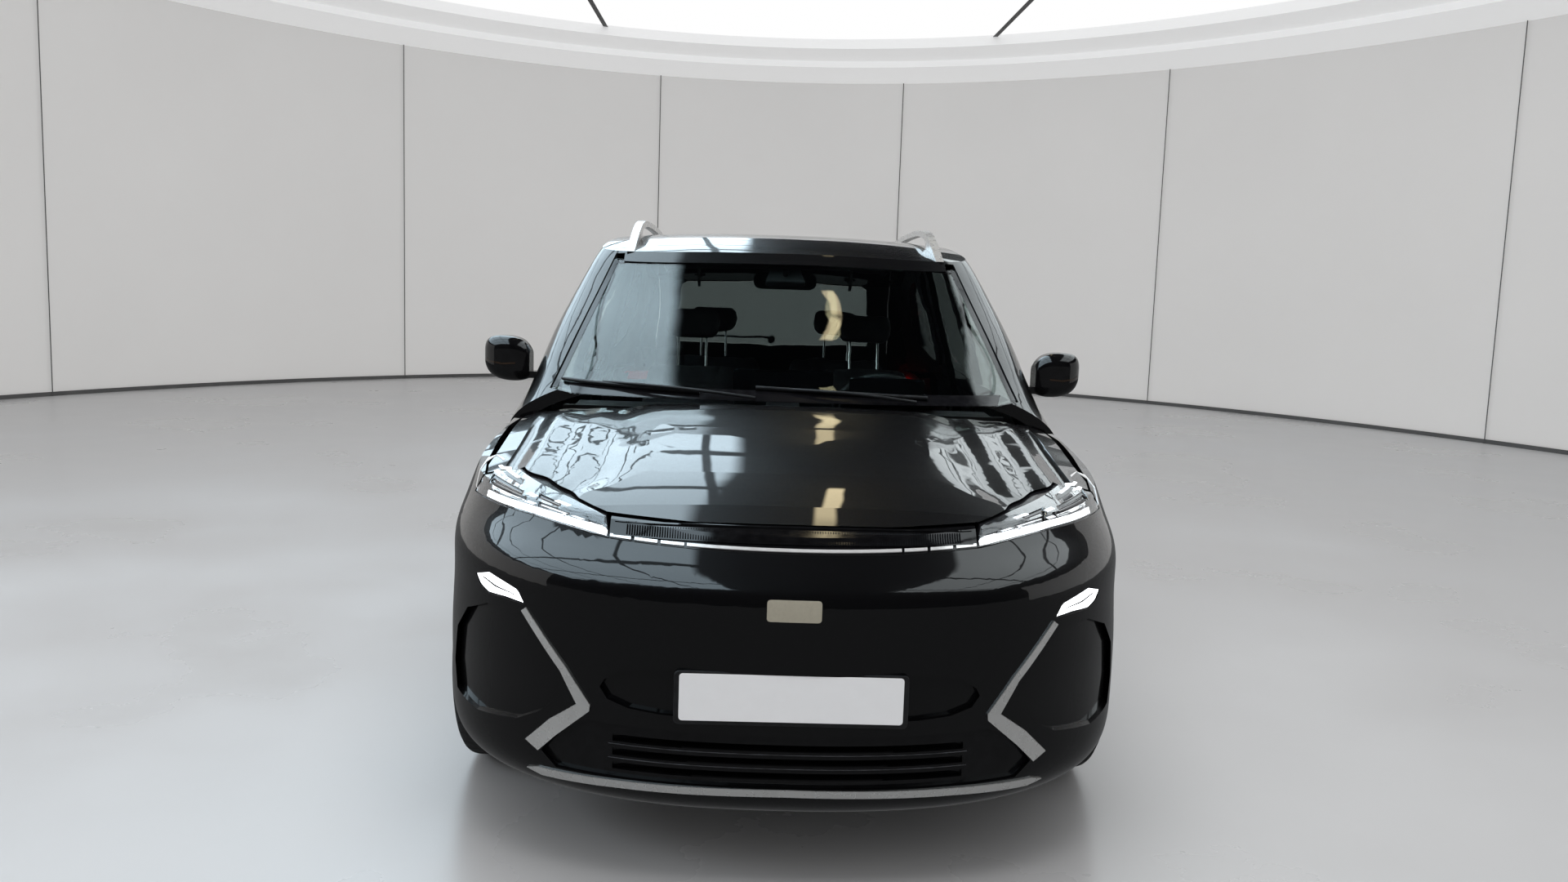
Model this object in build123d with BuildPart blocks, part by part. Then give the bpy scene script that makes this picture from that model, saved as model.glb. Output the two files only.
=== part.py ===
from build123d import *
import math
import os

os.makedirs("parts", exist_ok=True)

# ---------------------------------------------------------------- driving sizes, mm
# The car stands on z = 0, its nose towards -Y, its own left side towards +X.
FRONT_AXLE = -1445          # wheelbase 2755
REAR_AXLE = 1310
WHEEL_X = 805               # middle plane of each wheel
TYRE_R = 359                # 235/50 R19
TYRE_W = 235
RIM_R = 243
STEER_X = 745               # steering axis, vertical
ARCH_R = 395                # opening in the outer skin
LINER_R = 424               # inside of the front wheel housing
REAR_LINER_R = 404
LINER_X = 478               # inboard wall of the front housing
REAR_LINER_X = 640

SKIN = 20                   # fenders, bumpers, quarter panels
DOOR_T = 90                 # lower part of a door
FRAME_T = 42                # window frames, pillars
ROOF_T = 22
GLASS_OUT = 5               # glass lies this far under the skin
GLASS_IN = 10

GAP = 7                     # shut lines
SEAM = 0.3                  # between pieces that are fastened together

HINGE_X = 895               # door hinge axes
HINGE_Y = (-845, 205)       # front, rear door
EDGE_R = 81                 # leading edge of a door, round its hinge axis
SLANT = 0.3                 # shut faces lean, so the trailing edges clear

SILL_Z = 330                # lower edge of the doors
GATE_AXIS = (1800, 1478)    # y, z
GATE_EDGE_R = 64
PIN_R = 8                   # hinge pins
PIN_FIT = 0.3               # play round a pin
HINGE_Z = (470, 800)        # two hinges on each door
LEAF = 24                   # height of a hinge arm
BONNET_AXIS = (-1062, 985)  # y, z

# ---------------------------------------------------------------- form of the body
# (height, position) pairs, read with a smooth curve
NOSE = [(180, -2265), (250, -2330), (400, -2345), (560, -2368), (660, -2370), (730, -2364), (765, -2343),
        (810, -2285), (860, -2235), (950, -2120), (1150, -1850)]
TAIL = [(180, 2230), (260, 2310), (400, 2360), (560, 2370), (700, 2355), (850, 2315),
        (1000, 2290), (1150, 2270)]
HALF = [(180, 850), (260, 925), (400, 943), (560, 947), (700, 950), (790, 952.5), (900, 944),
        (1000, 915), (1150, 840)]
NOSE_DEPTH = [(180, 740), (250, 750), (330, 775), (450, 830), (560, 885), (660, 925), (750, 920),
              (870, 840),
              (950, 770), (1150, 700)]
WAIST = [(700, 0), (750, 3), (790, 10), (833, 20), (877, 31), (914, 41), (950, 48), (1150, 48)]
WAIST_ALONG = [(-1450, 1), (-1200, 0.75), (-940, 0.3), (-600, 0)]
SCREEN = [(900, -1460), (950, -1390), (1080, -1179), (1200, -1000), (1350, -780), (1500, -570),
          (1555, -498), (1620, -395), (1700, -270)]
REAR_SCREEN = [(900, 2290), (950, 2275), (1050, 2235), (1500, 2000), (1700, 1895)]
CABIN_HALF = [(900, 915), (1000, 893), (1050, 885), (1200, 845), (1350, 795), (1500, 735),
              (1580, 695), (1700, 600)]
SCREEN_DEPTH = [(900, 480), (1077, 420), (1540, 215), (1700, 200)]
BELT_LINE = [(-2450, 790), (-2234, 853), (-2000, 925), (-1600, 1000), (-1180, 1060),
             (-500, 1066), (1000, 1082), (2450, 1072)]
ROOF_LINE = [(-800, 1430), (-498, 1555), (-300, 1600), (0, 1640), (300, 1652), (700, 1645),
             (1200, 1610), (1700, 1545), (2000, 1500), (2400, 1435)]


def smooth(table, at):
    """Monotone cubic curve through (position, value) pairs."""
    n = len(table)
    xs = [p[0] for p in table]
    ys = [p[1] for p in table]
    at = min(max(at, xs[0]), xs[-1])
    d = [(ys[i + 1] - ys[i]) / (xs[i + 1] - xs[i]) for i in range(n - 1)]
    m = [d[0]]
    for i in range(1, n - 1):
        m.append(0 if d[i - 1] * d[i] <= 0 else 2 * d[i - 1] * d[i] / (d[i - 1] + d[i]))
    m.append(d[-1])
    i = max(j for j in range(n - 1) if xs[j] <= at)
    h = xs[i + 1] - xs[i]
    u = (at - xs[i]) / h
    return (ys[i] * (2 * u**3 - 3 * u**2 + 1) + m[i] * h * (u**3 - 2 * u**2 + u)
            + ys[i + 1] * (3 * u**2 - 2 * u**3) + m[i + 1] * h * (u**3 - u**2))


def plan_ring(front, front_depth, front_power, rear, rear_depth, rear_power, half, z, hollow):
    """Plan outline at one height: rounded front, straight side, rounded rear."""
    quarter = []
    for i in range(8):
        a = math.pi / 2 * i / 7
        quarter.append((half * math.sin(a) ** (2 / front_power),
                        front + front_depth * (1 - math.cos(a) ** (2 / front_power))))
    start, end = front + front_depth, rear - rear_depth
    for i in range(1, 7):
        y = start + (end - start) * i / 7
        quarter.append((half - hollow(y, z), y))
    for i in range(6):
        a = math.pi / 2 * (1 - i / 5)
        quarter.append((half * math.sin(a) ** (2 / rear_power),
                        rear - rear_depth * (1 - math.cos(a) ** (2 / rear_power))))
    return quarter + [(-x, y) for x, y in reversed(quarter[1:-1])]


def knots(ring):
    """Share of the way round at each point, the same for every section of a body."""
    run = [0]
    for p, q in zip(ring, ring[1:] + ring[:1]):
        run.append(run[-1] + math.dist(p, q))
    return [r / run[-1] for r in run]


def door_hollow(y, z):
    """Depth of the sculpted hollow low on the doors."""
    along = max(0, 1 - ((y + 60) / 760) ** 4)
    up = math.exp(-((z - 560) / 130) ** 2)
    return 16 * along * up


def waist(y, z):
    """How far the shoulders of the front fenders lie inside the line of the doors."""
    return smooth(WAIST, z) * smooth(WAIST_ALONG, y)


def belt_ring(z, inset):
    """The skin follows the hollow of the doors; the surfaces inside it only follow the fenders."""
    def side(y, z):
        return waist(y, z) + (door_hollow(y, z) if inset == 0 else 0)
    ring = plan_ring(smooth(NOSE, z) + inset, smooth(NOSE_DEPTH, z), 2.4, smooth(TAIL, z) - inset, 560, 2.8,
                     smooth(HALF, z) - inset, z, side)
    front = smooth(HALF, z) - inset
    start = smooth(NOSE, z) + inset + smooth(NOSE_DEPTH, z)
    return [(x * (front - waist(start, z)) / front, y) if y <= start + 1e-6 else (x, y) for x, y in ring]


def cabin_ring(z, inset):
    return plan_ring(smooth(SCREEN, z) + inset * 1.25, smooth(SCREEN_DEPTH, z), 3,
                     smooth(REAR_SCREEN, z) - inset * 1.12, 240, 3,
                     smooth(CABIN_HALF, z) - inset * 1.06, z, lambda y, z: 0)


def belt_top(x, y):
    return smooth(BELT_LINE, y) - 70 * (abs(x) / 850) ** 3.2


def roof_top(x, y):
    return smooth(ROOF_LINE, y) - 25 * (abs(x) / 640) ** 2.5


def under(height, drop):
    """Everything below a height field that is lowered by drop."""
    if (height, drop) not in CUTTERS:
        xs = [-1000 + 200 * i for i in range(11)]
        ys = [-2500 + 200 * j for j in range(26)]
        top = Face.make_surface_from_array_of_points([[Vector(x, y,
            height(x, y) - drop) for x in xs] for y in ys])
        CUTTERS[height, drop] = Solid.extrude(top, Vector(0, 0, -1500))
    return CUTTERS[height, drop]


BELT_LEVELS = [180, 250, 330, 450, 560, 660, 730, 770, 815, 870, 950, 1050, 1150]
CABIN_LEVELS = [900, 1050, 1200, 1350, 1480, 1560, 1630, 1700]
CUTTERS = {}


def ring_body(ring, levels, reference, inset, height, drop):
    """Loft through the plan outlines, then cut off above a height field."""
    marks = knots(ring(reference, 0))
    with BuildPart() as body:
        for z in levels:
            with BuildSketch(Plane.XY.offset(z)):
                with BuildLine():
                    add(Edge.make_spline([Vector(x, y) for x, y in ring(z, inset)], periodic=True,
                                         parameters=marks))
                make_face()
        loft()
        if height is not None:
            add(under(height, drop), mode=Mode.INTERSECT)
    return body.part


def belt_body(inset, drop=None):
    return ring_body(belt_ring, BELT_LEVELS, 700, inset, belt_top, inset if drop is None else drop)


def cabin_body(inset, drop=None):
    return ring_body(cabin_ring, CABIN_LEVELS, 1275, inset, roof_top, inset if drop is None else drop)


BELT = belt_body(0)
BELT_SKIN = belt_body(SKIN)
BELT_DOOR = belt_body(DOOR_T, -60)       # open at the top, so only the walls stay
CABIN = cabin_body(0)
CABIN_GLASS_OUT = ring_body(cabin_ring, CABIN_LEVELS, 1275, GLASS_OUT, None, 0)
CABIN_GLASS_IN = ring_body(cabin_ring, CABIN_LEVELS, 1275, GLASS_IN, None, 0)
CABIN_FRAME = cabin_body(FRAME_T)
CABIN_ROOM = cabin_body(-4, 0)          # a little outside the cabin, to clear its pillars


def skin_x(z):
    return smooth(HALF, z) if z < 1000 else smooth(CABIN_HALF, z)


def shut(y, z):
    """Point of the slanted door prism that meets the skin at (y, z)."""
    return (y + SLANT * (HINGE_X - skin_x(z)), z)


def resized(points, by):
    """A closed outline moved out by a gap (or in, by a negative one), as a sketch."""
    with BuildSketch() as view:
        with BuildLine():
            Polyline(*points, close=True)
        make_face()
        if by:
            offset(amount=by, kind=Kind.INTERSECTION)
    return view.sketch


def prism(outline, plane, amount, direction=None, both=False):
    """Extrude an outline, given as points or as a sketch."""
    with BuildPart() as solid:
        with BuildSketch(plane) as view:
            add(resized(outline, 0) if isinstance(outline, list) else outline)
        extrude(view.sketch, amount=amount, dir=direction, both=both)
    return solid.part


def side_cut(points, slanted=False):
    """A side-view outline taken through the left side of the car."""
    direction = (1, SLANT, 0) if slanted else (1, 0, 0)
    return prism(points, Plane.YZ.offset(HINGE_X), 345, direction, both=True)


def plan_cut(points, low, high):
    return prism(points, Plane.XY.offset(low), high - low)


def front_cut(outline, y0, y1):
    """A front-view outline (x, z) taken from y0 back to y1."""
    return prism(outline, Plane(origin=(0, y0, 0), x_dir=(1, 0, 0), z_dir=(0, -1, 0)), -(y1 - y0))


def mirrored(points):
    return points + [(-x, z) for x, z in reversed(points) if x]


def post(x, y, radius, low, high):
    with BuildPart() as solid:
        with BuildSketch(Plane.XY.offset(low)):
            with Locations((x, y)):
                Circle(radius)
        extrude(amount=high - low)
    return solid.part


def bar(y, z, radius, x0, x1):
    with BuildPart() as solid:
        with BuildSketch(Plane.YZ.offset(x0)):
            with Locations((y, z)):
                Circle(radius)
        extrude(amount=x1 - x0)
    return solid.part


def block(x0, x1, y0, y1, z0, z1):
    with BuildPart() as solid:
        with BuildSketch(Plane.XY.offset(z0)):
            with Locations(((x0 + x1) / 2, (y0 + y1) / 2)):
                Rectangle(x1 - x0, y1 - y0)
        extrude(amount=z1 - z0)
    return solid.part


def built(first, *steps):
    """Join, cut and keep solids: steps are (mode, solid) pairs."""
    with BuildPart() as work:
        add(first)
        for mode, solid in steps:
            add(solid, mode=mode)
    return work.part


CUT, KEEP, JOIN = Mode.SUBTRACT, Mode.INTERSECT, Mode.ADD


def rod(start, direction, radius, length):
    """A round bar from a point along a direction."""
    with BuildPart() as solid:
        with BuildSketch(Plane(origin=start, z_dir=direction)):
            Circle(radius)
        extrude(amount=length)
    return solid.part


def save(piece, name):
    piece.label = name
    export_step(piece, f"parts/{name}.step")


def save_pair(piece, stem):
    """The left piece and its mirror image."""
    save(piece, stem + "_left")
    save(mirror(piece, about=Plane.YZ), stem + "_right")


# ---------------------------------------------------------------- outlines of the openings
F0, R0 = HINGE_Y
FRONT_DOOR = [(F0, SILL_Z), (R0 - 85, SILL_Z), (R0 - 85, 985), shut(132, 1020), shut(120, 1300),
              shut(100, 1565), shut(-120, 1568), shut(-330, 1530), shut(-560, 1320),
              shut(-800, 1075), shut(-855, 1010), (F0, 985)]
REAR_DOOR = [(R0, SILL_Z), (870, SILL_Z), (885, 470), (925, 579), (985, 660), (1045, 722),
             (1075, 800), (1085, 1000), shut(1075, 1200), shut(1010, 1530), shut(700, 1572),
             shut(107, 1572), shut(127, 1300), shut(139, 1020), (R0, 985)]


def door_zone(outline, axis_y, by):
    """Room a door takes up, with by more all round."""
    with BuildPart() as zone:
        add(side_cut(resized(outline, by), True))
        add(post(HINGE_X, axis_y, EDGE_R + by, SILL_Z - by, 985 + by))
    return zone.part


FRONT_ZONE = door_zone(FRONT_DOOR, F0, 0)
FRONT_ROOM = door_zone(FRONT_DOOR, F0, GAP)
REAR_ZONE = door_zone(REAR_DOOR, R0, 0)
REAR_ROOM = door_zone(REAR_DOOR, R0, GAP)

BONNET_SIDE = [(0, -2450), (845, -2450), (822, -1800), (848, -1650), (858, -1450), (856, -1270),
               (838, -1140), (800, -1108), (700, -1160), (600, -1190), (500, -1204), (300, -1220),
               (0, -1225)]
LAMP_TOP = [(0, 861), (240, 861), (459, 870), (555, 891), (659, 908), (754, 924), (880, 943)]
LAMP_LOW = [(0, 816), (237, 818), (452, 826), (543, 838), (659, 850), (792, 856), (880, 858)]
LAMP_END = -1780

GATE_SIDE = [(610, 575), (640, 640), (668, 760), (690, 900), (684, 1050), (656, 1300), (650, 1500),
             (650, 1700)]

# ---------------------------------------------------------------- doors
def hinge_arms(axis_y, route):
    """Arms of the body that reach a door's two hinge pins."""
    low, high = (prism(route, Plane.XY.offset(z - LEAF / 2), LEAF) for z in HINGE_Z)
    knuckles = [post(HINGE_X, axis_y, 2 * PIN_R, z - LEAF / 2, z + LEAF / 2) for z in HINGE_Z]
    return built(low, (JOIN, high), *[(JOIN, k) for k in knuckles],
                 (CUT, post(HINGE_X, axis_y, PIN_R + PIN_FIT, 300, 900)))


def hinge_pockets(door, axis_y):
    """Room for the arms in a door, with a pin through each."""
    for z in HINGE_Z:
        room = LEAF / 2 + 5
        door = built(door, (CUT, block(700, HINGE_X + 25, axis_y - 95, axis_y + 22, z - room, z + room)),
                     (JOIN, post(HINGE_X, axis_y, PIN_R, z - room - 2, z + room + 2)))
    return door


def make_door(zone, outline_glass, rear_room=None):
    lower = built(BELT, (KEEP, zone), (CUT, BELT_DOOR))
    upper = built(CABIN, (KEEP, zone), (CUT, CABIN_FRAME))
    steps = [(JOIN, upper), (CUT, side_cut(outline_glass))]
    if rear_room is not None:
        steps.append((CUT, rear_room))
    return built(lower, *steps)


FRONT_LIGHT = [(-690, 1046), (-690, 1140), (-545, 1272), (-310, 1488), (-120, 1525), (60, 1525), (88, 1300),
               (100, 1050)]
REAR_LIGHT = [(175, 1052), (165, 1300), (150, 1528), (680, 1528), (930, 1490), (1000, 1200), (1010, 1066)]
TAIL_Z = (862, 905)
TAIL_X = 684
QUARTER_LIGHT = [(1135, 1080), (1125, 1200), (1075, 1480), (1300, 1462), (1560, 1400), (1760, 1290),
                 (1830, 1200), (1700, 1130)]

REAR_EDGE = post(HINGE_X, R0, EDGE_R + GAP + 3.5, 200, 985 + GAP)
front_door = hinge_pockets(make_door(FRONT_ZONE, FRONT_LIGHT, REAR_EDGE), F0)
save_pair(front_door, "door_front")
rear_door = hinge_pockets(make_door(REAR_ZONE, REAR_LIGHT), R0)
save_pair(rear_door, "door_rear")


def pane(points):
    return built(CABIN_GLASS_OUT, (KEEP, side_cut(resized(points, -SEAM))), (CUT, CABIN_GLASS_IN))


save_pair(pane(FRONT_LIGHT), "door_glass_front")
save_pair(pane(REAR_LIGHT), "door_glass_rear")
quarter_glass = pane(QUARTER_LIGHT)

# ---------------------------------------------------------------- roof, screens
SCREEN_EDGE = [(0, 1556), (300, 1553), (635, 1537), (782, 1077), (700, 1066), (400, 1066), (0, 1066)]
screen_zone = front_cut(mirrored(SCREEN_EDGE), -1500, -300)
windscreen = built(CABIN_GLASS_OUT, (KEEP, front_cut(resized(mirrored(SCREEN_EDGE), -SEAM), -1500, -300)),
                   (CUT, CABIN_GLASS_IN), (KEEP, under(roof_top, ROOF_T + SEAM)))
glass = built(windscreen, (JOIN, quarter_glass), (JOIN, mirror(quarter_glass, about=Plane.YZ)))
save(glass, "fixed_glass")

roof_plan = [(0, -700), (600, -700), (600, 1790), (0, 1790)]
gate_edge = bar(*GATE_AXIS, GATE_EDGE_R + GAP, -900, 900)
behind_gate = block(-900, 900, GATE_AXIS[0], 2600, 500, 1800)
roof = built(CABIN, (KEEP, plan_cut(mirrored(roof_plan), 1300, 1800)),
             (CUT, under(roof_top, ROOF_T)), (CUT, gate_edge), (CUT, behind_gate))
GATE_HINGE_X = 420
gate_arm = [(GATE_AXIS[0] + 6, GATE_AXIS[1] - 8), (GATE_AXIS[0] - 10, GATE_AXIS[1] + 6),
            (GATE_AXIS[0] - 48, GATE_AXIS[1] - 44),
            (GATE_AXIS[0] - 78, GATE_AXIS[1] - 20), (GATE_AXIS[0] - 72, 1524), (GATE_AXIS[0] - 100, 1524),
            (GATE_AXIS[0] - 98, GATE_AXIS[1] - 32), (GATE_AXIS[0] - 48, GATE_AXIS[1] - 66)]
for x in (-GATE_HINGE_X, GATE_HINGE_X):
    arm = built(prism(gate_arm, Plane.YZ.offset(x - 8), 16), (JOIN,
                                                              bar(*GATE_AXIS, 2 * PIN_R - 2, x - 8, x + 8)),
                (CUT, bar(*GATE_AXIS, PIN_R + PIN_FIT, x - 20, x + 20)))
    roof = built(roof, (JOIN, arm))
save(roof, "roof_panel")

# ---------------------------------------------------------------- side frames
arch_front = bar(FRONT_AXLE, TYRE_R, ARCH_R, 600, 1100)
arch_rear = bar(REAR_AXLE, TYRE_R, ARCH_R, 600, 1100)

gate_room = built(front_cut(resized(mirrored(GATE_SIDE), GAP), 1700, 2600),
                  (KEEP, built(gate_edge, (JOIN, behind_gate))))

rear_quarter = built(BELT, (KEEP, side_cut([(780, 230), (780, 1200), (2450, 1200), (2450, 572),
                                            (1700, 572), (1600, 572), (1600, 230)])), (CUT, BELT_SKIN))
pillars = built(CABIN, (KEEP, block(600 + SEAM, 1000, -1066, 2400, 880, 1700)), (CUT, CABIN_FRAME),
                (CUT, side_cut(QUARTER_LIGHT)))
rocker = built(BELT, (KEEP, block(720, 1000, -1016, 900, 214, SILL_Z - GAP)))
hinge_post = built(BELT_SKIN, (KEEP, block(740, 930, -1016, F0 - EDGE_R - GAP, 214, 1010)))
middle_post = prism([(788, 250), (788, 990), (774, 1010), (628, 1545), (628, 1579), (668, 1590),
                     (668, 1600),
                     (600, 1600), (600, 1545), (752, 1000), (750, 900), (740, 250)],
                    Plane(origin=(0, 190, 0), x_dir=(1, 0, 0), z_dir=(0, -1, 0)), 90)
flap_view = [(1640, 845), (1655, 830), (1765, 830), (1780, 845), (1780, 945), (1765, 960), (1655, 960),
             (1640, 945)]
FLAP_AXIS = (936, 1660, 895)
FLAP_LEAN = (-0.1644, 0, 0.9864)


def flap_rod(low, high, radius):
    """Round bar along the flap's hinge axis, between two distances from its middle."""
    start = tuple(c + low * d for c, d in zip(FLAP_AXIS, FLAP_LEAN))
    return rod(start, FLAP_LEAN, radius, high - low)


flap = built(BELT, (KEEP, side_cut(flap_view)), (CUT, belt_body(6)), (CUT, flap_rod(-22, -10, 5.5)),
             (CUT, flap_rod(10, 22, 5.5)), (JOIN, flap_rod(-10, 10, 5)), (CUT,
                                                                          flap_rod(-10, 10, 1.5 + PIN_FIT)))
flap_lugs = built(flap_rod(-19, 19, 1.5))
for edge, low_z in ((940.5, 876.5), (935.5, 906.5)):
    flap_lugs = built(flap_lugs, (JOIN, block(edge - 8, edge, 1658.4, 1668, low_z, low_z + 7)),
                      (JOIN, block(886, edge - 7, 1663, 1668, low_z, low_z + 7)))
save(flap, "charge_flap")
save(mirror(flap, about=Plane.YZ), "fuel_flap")
BELT_CUP = belt_body(54)
flap_cup = built(BELT_SKIN, (KEEP, side_cut(resized(flap_view, GAP + 6))), (CUT, belt_body(60)))
flap_hollow = built(BELT, (KEEP, side_cut(resized(flap_view, GAP))), (CUT, BELT_CUP))
tail_view = [(TAIL_X + GAP + 6, TAIL_Z[0]), (1000, TAIL_Z[0]), (1000, TAIL_Z[1]),
             (TAIL_X + GAP + 6, TAIL_Z[1])]
tail_zone = front_cut(tail_view, 2060, 2600)
pillars = built(pillars, (CUT, built(BELT, (KEEP, block(500, 1000, 700, 2500, 900, 1200)))),
                (CUT, FRONT_ROOM), (CUT, REAR_ROOM), (CUT, screen_zone), (CUT, gate_room))
side = built(pillars, (JOIN, rocker), (JOIN, hinge_post), (CUT, FRONT_ROOM), (CUT, REAR_ROOM),
             (CUT, post(HINGE_X, F0, EDGE_R + GAP, 900, 1020)), (JOIN, middle_post))
front_arm = [(HINGE_X, F0 - 12), (HINGE_X, F0 + 12), (796, F0), (796, F0 - 96), (826, F0 - 96),
             (826, F0 - 26)]
rear_arm = [(HINGE_X, R0 - 12), (HINGE_X, R0 + 12), (782, R0 - 28), (782, R0 - 60)]
side = built(side, (JOIN, hinge_arms(F0, front_arm)), (JOIN, hinge_arms(R0, rear_arm)))
save_pair(side.solids().sort_by(lambda s: s.volume)[-1], "side_frame")
quarter = built(rear_quarter, (CUT, CABIN_FRAME), (JOIN, flap_cup), (CUT, flap_hollow), (CUT, tail_zone),
                (CUT, REAR_ROOM),
                (CUT, arch_rear), (CUT, gate_room), (CUT, block(500, 1000, 700, 900 + SEAM, 100,
                                                                SILL_Z - GAP + SEAM)),
                (JOIN, flap_lugs))
save_pair(quarter.solids().sort_by(lambda s: s.volume)[-1], "quarter_panel")

# ---------------------------------------------------------------- fenders, bumpers, bonnet
bonnet_zone = plan_cut(mirrored(BONNET_SIDE), 700, 1300)
bonnet_room = plan_cut(resized(mirrored(BONNET_SIDE), GAP), 700, 1300)
band_low = front_cut(mirrored([(x, z) for x, z in LAMP_TOP] + [(1000, 945), (1000, 500), (0, 500)]),
                     -2500, LAMP_END)
bonnet = built(BELT, (KEEP, bonnet_zone), (CUT, under(belt_top, 24)),
               (CUT, front_cut(mirrored([(x, z + GAP) for x, z in LAMP_TOP] + [(1000, 952), (1000, 500),
                                                                               (0, 500)]),
                               -2500, LAMP_END + GAP)))


def bonnet_form(x, y):
    """Raised middle with a crease each side and a channel between it and the fender crest."""
    edge = 432 + 65 * min(max((-1890 - y) / 120, 0), 1)
    out = (abs(x) - edge) / 330
    fade = min(max((y + 2190) / 330, 0), 1) * min(max((-1085 - y) / 160, 0), 1)
    if out <= 0 or out >= 1:
        return 0
    return -15 * fade * (min(out / 0.16, 1) - max(0, (out - 0.3) / 0.7) ** 1.3)


form_xs = [-840 + 56 * i for i in range(31)]
form_ys = [-2300 + 100 * j for j in range(14)]
bonnet_skin = Face.make_surface_from_array_of_points(
    [[Vector(x, y, belt_top(x, y) + bonnet_form(x, y)) for x in form_xs] for y in form_ys])
bonnet = built(bonnet, (KEEP, Solid.extrude(bonnet_skin, Vector(0, 0, -500))))
BONNET_HINGE_X = 700
for side_x in (-1, 1):
    arm = built(prism([(-1054, 978), (-1056, 994), (-1113, 998), (-1147, 998), (-1168, 1000), (-1170, 1060),
                       (-1205, 1060),
                       (-1205, 985), (-1075, 974)],
                      Plane.YZ.offset(side_x * BONNET_HINGE_X - 6), 12), (KEEP, under(belt_top, 12)))
    pin_start = side_x * BONNET_HINGE_X - (6 if side_x > 0 else 25)
    bonnet = built(bonnet, (JOIN, arm), (JOIN, bar(*BONNET_AXIS, PIN_R, pin_start, pin_start + 31)))
save(bonnet.solids().sort_by(lambda s: s.volume)[-1], "bonnet")

SEAM_LINE = [(-2500, 150), (-1815, 150), (-1835, 400), (-1752, 613), (LAMP_END, 840), (LAMP_END, 950),
             (LAMP_END, 1000), (-2500, 1000)]
front_zone = side_cut(SEAM_LINE)
fender = built(BELT, (KEEP, side_cut([(-1900, 230), (-900, 230), (-700, 900), (-700, 1100),
                                      (-1900, 1100)])),
               (CUT, BELT_SKIN), (CUT, front_zone), (CUT, bonnet_room), (CUT, FRONT_ROOM), (CUT,
                                                                                            arch_front),
               (CUT, block(500, 1000, -1016 - SEAM, 0, 100, SILL_Z - GAP + SEAM)), (CUT, CABIN_ROOM),
               (CUT, plan_cut([(x, y + 2 * GAP) for x, y in BONNET_SIDE[6:10]] + [(600, -1300),
                   (830, -1300)], 700, 1300)))
save_pair(fender.solids().sort_by(lambda s: s.volume)[-1], "fender")

bumper_low = front_cut(mirrored([(x, z - SEAM) for x, z in LAMP_LOW] + [(1000, 858), (1000, 150),
                                                                        (0, 150)]),
                       -2500, -1600)
front_all = prism(SEAM_LINE, Plane.YZ, 1000, both=True)
intake = [(0, 392), (480, 400), (545, 372), (600, 300), (560, 262), (0, 262)]
low_lamp = [(648, 656), (667, 688), (756, 710), (800, 690), (783, 668), (755, 655)]
bumper = built(BELT, (KEEP, front_all), (KEEP, bumper_low), (CUT, BELT_SKIN), (CUT, arch_front),
               (CUT, mirror(arch_front, about=Plane.YZ)),
               (CUT, front_cut(mirrored(intake), -2500, -1900)),
               (CUT, front_cut(low_lamp, -2500, -1850)),
               (CUT, front_cut([(-x, z) for x, z in low_lamp], -2500, -1850)))
BELT_STEP = belt_body(12, 12)
plate_recess = mirrored([(0, 551), (330, 548), (400, 536), (440, 510), (450, 490), (432, 462), (380, 444),
                         (300, 436),
                         (0, 434)])
corner_recess = [(655, 622), (596, 552), (556, 478), (552, 450), (600, 400), (668, 362), (790, 340),
                 (872, 352), (885, 420),
                 (872, 520), (830, 590), (760, 628)]
recesses = built(front_cut(plate_recess, -2500, -1830), (JOIN, front_cut(corner_recess, -2500, -1830)),
                 (JOIN, front_cut([(-x, z) for x, z in corner_recess], -2500, -1830)))
bumper = built(bumper, (CUT, built(BELT, (KEEP, recesses), (CUT, BELT_STEP))))
save(bumper.solids().sort_by(lambda s: s.volume)[-1], "front_bumper")

lamp_back = belt_body(64, 24)
lamp_shape = [(446, 826 + 1)] + [(x, z) for x, z in LAMP_LOW[3:]] + [(900, 858), (900, 944)] + \
    [(x, z) for x, z in reversed(LAMP_TOP[2:])]
lamp_zone = front_cut([(x, z) for x, z in lamp_shape], -2500, LAMP_END - SEAM)
BELT_LAMP = belt_body(3, 3)
lamp = built(BELT_LAMP, (KEEP, lamp_zone), (CUT, lamp_back))


def lamp_bar(a, b, low, high):
    """Outline of one light bar: a and b are its ends in x, low and high its share of the lamp's height."""
    def at(x, share):
        base, top = smooth(LAMP_LOW, x), smooth(LAMP_TOP, x)
        return (x, base + (top - base) * share)
    return [at(a, low), at((a + b) / 2, low), at(b, low), at(b - 8, high), at((a + b) / 2, high),
            at(a - 8, high)]


LIGHT_BARS = [(470, 505, 0.36, 0.5), (560, 640, 0.36, 0.5), (585, 650, 0.58, 0.7), (684, 800, 0.34, 0.45),
              (694, 806, 0.51, 0.61), (712, 812, 0.67, 0.77)]
bar_zones = [front_cut(lamp_bar(*share), -2500, LAMP_END - 8) for share in LIGHT_BARS]
bar_zones = built(bar_zones[0], *[(JOIN, zone) for zone in bar_zones[1:]])
lamp = built(lamp, (CUT, built(BELT, (KEEP, bar_zones), (CUT, BELT_STEP))))
low_zone = front_cut([(x, z) for x, z in low_lamp], -2500, -1850)
low = built(BELT_LAMP, (KEEP, low_zone), (CUT, lamp_back))
both_lamps = built(lamp, (JOIN, low), (JOIN, mirror(lamp, about=Plane.YZ)),
                   (JOIN, mirror(low, about=Plane.YZ)))
save(both_lamps, "headlamps")

tail_lamp = built(BELT_LAMP, (KEEP, front_cut(resized(tail_view, -SEAM), 2060 + SEAM, 2600)),
                  (CUT, lamp_back))
save(built(tail_lamp, (JOIN, mirror(tail_lamp, about=Plane.YZ))), "tail_lamps")

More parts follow.
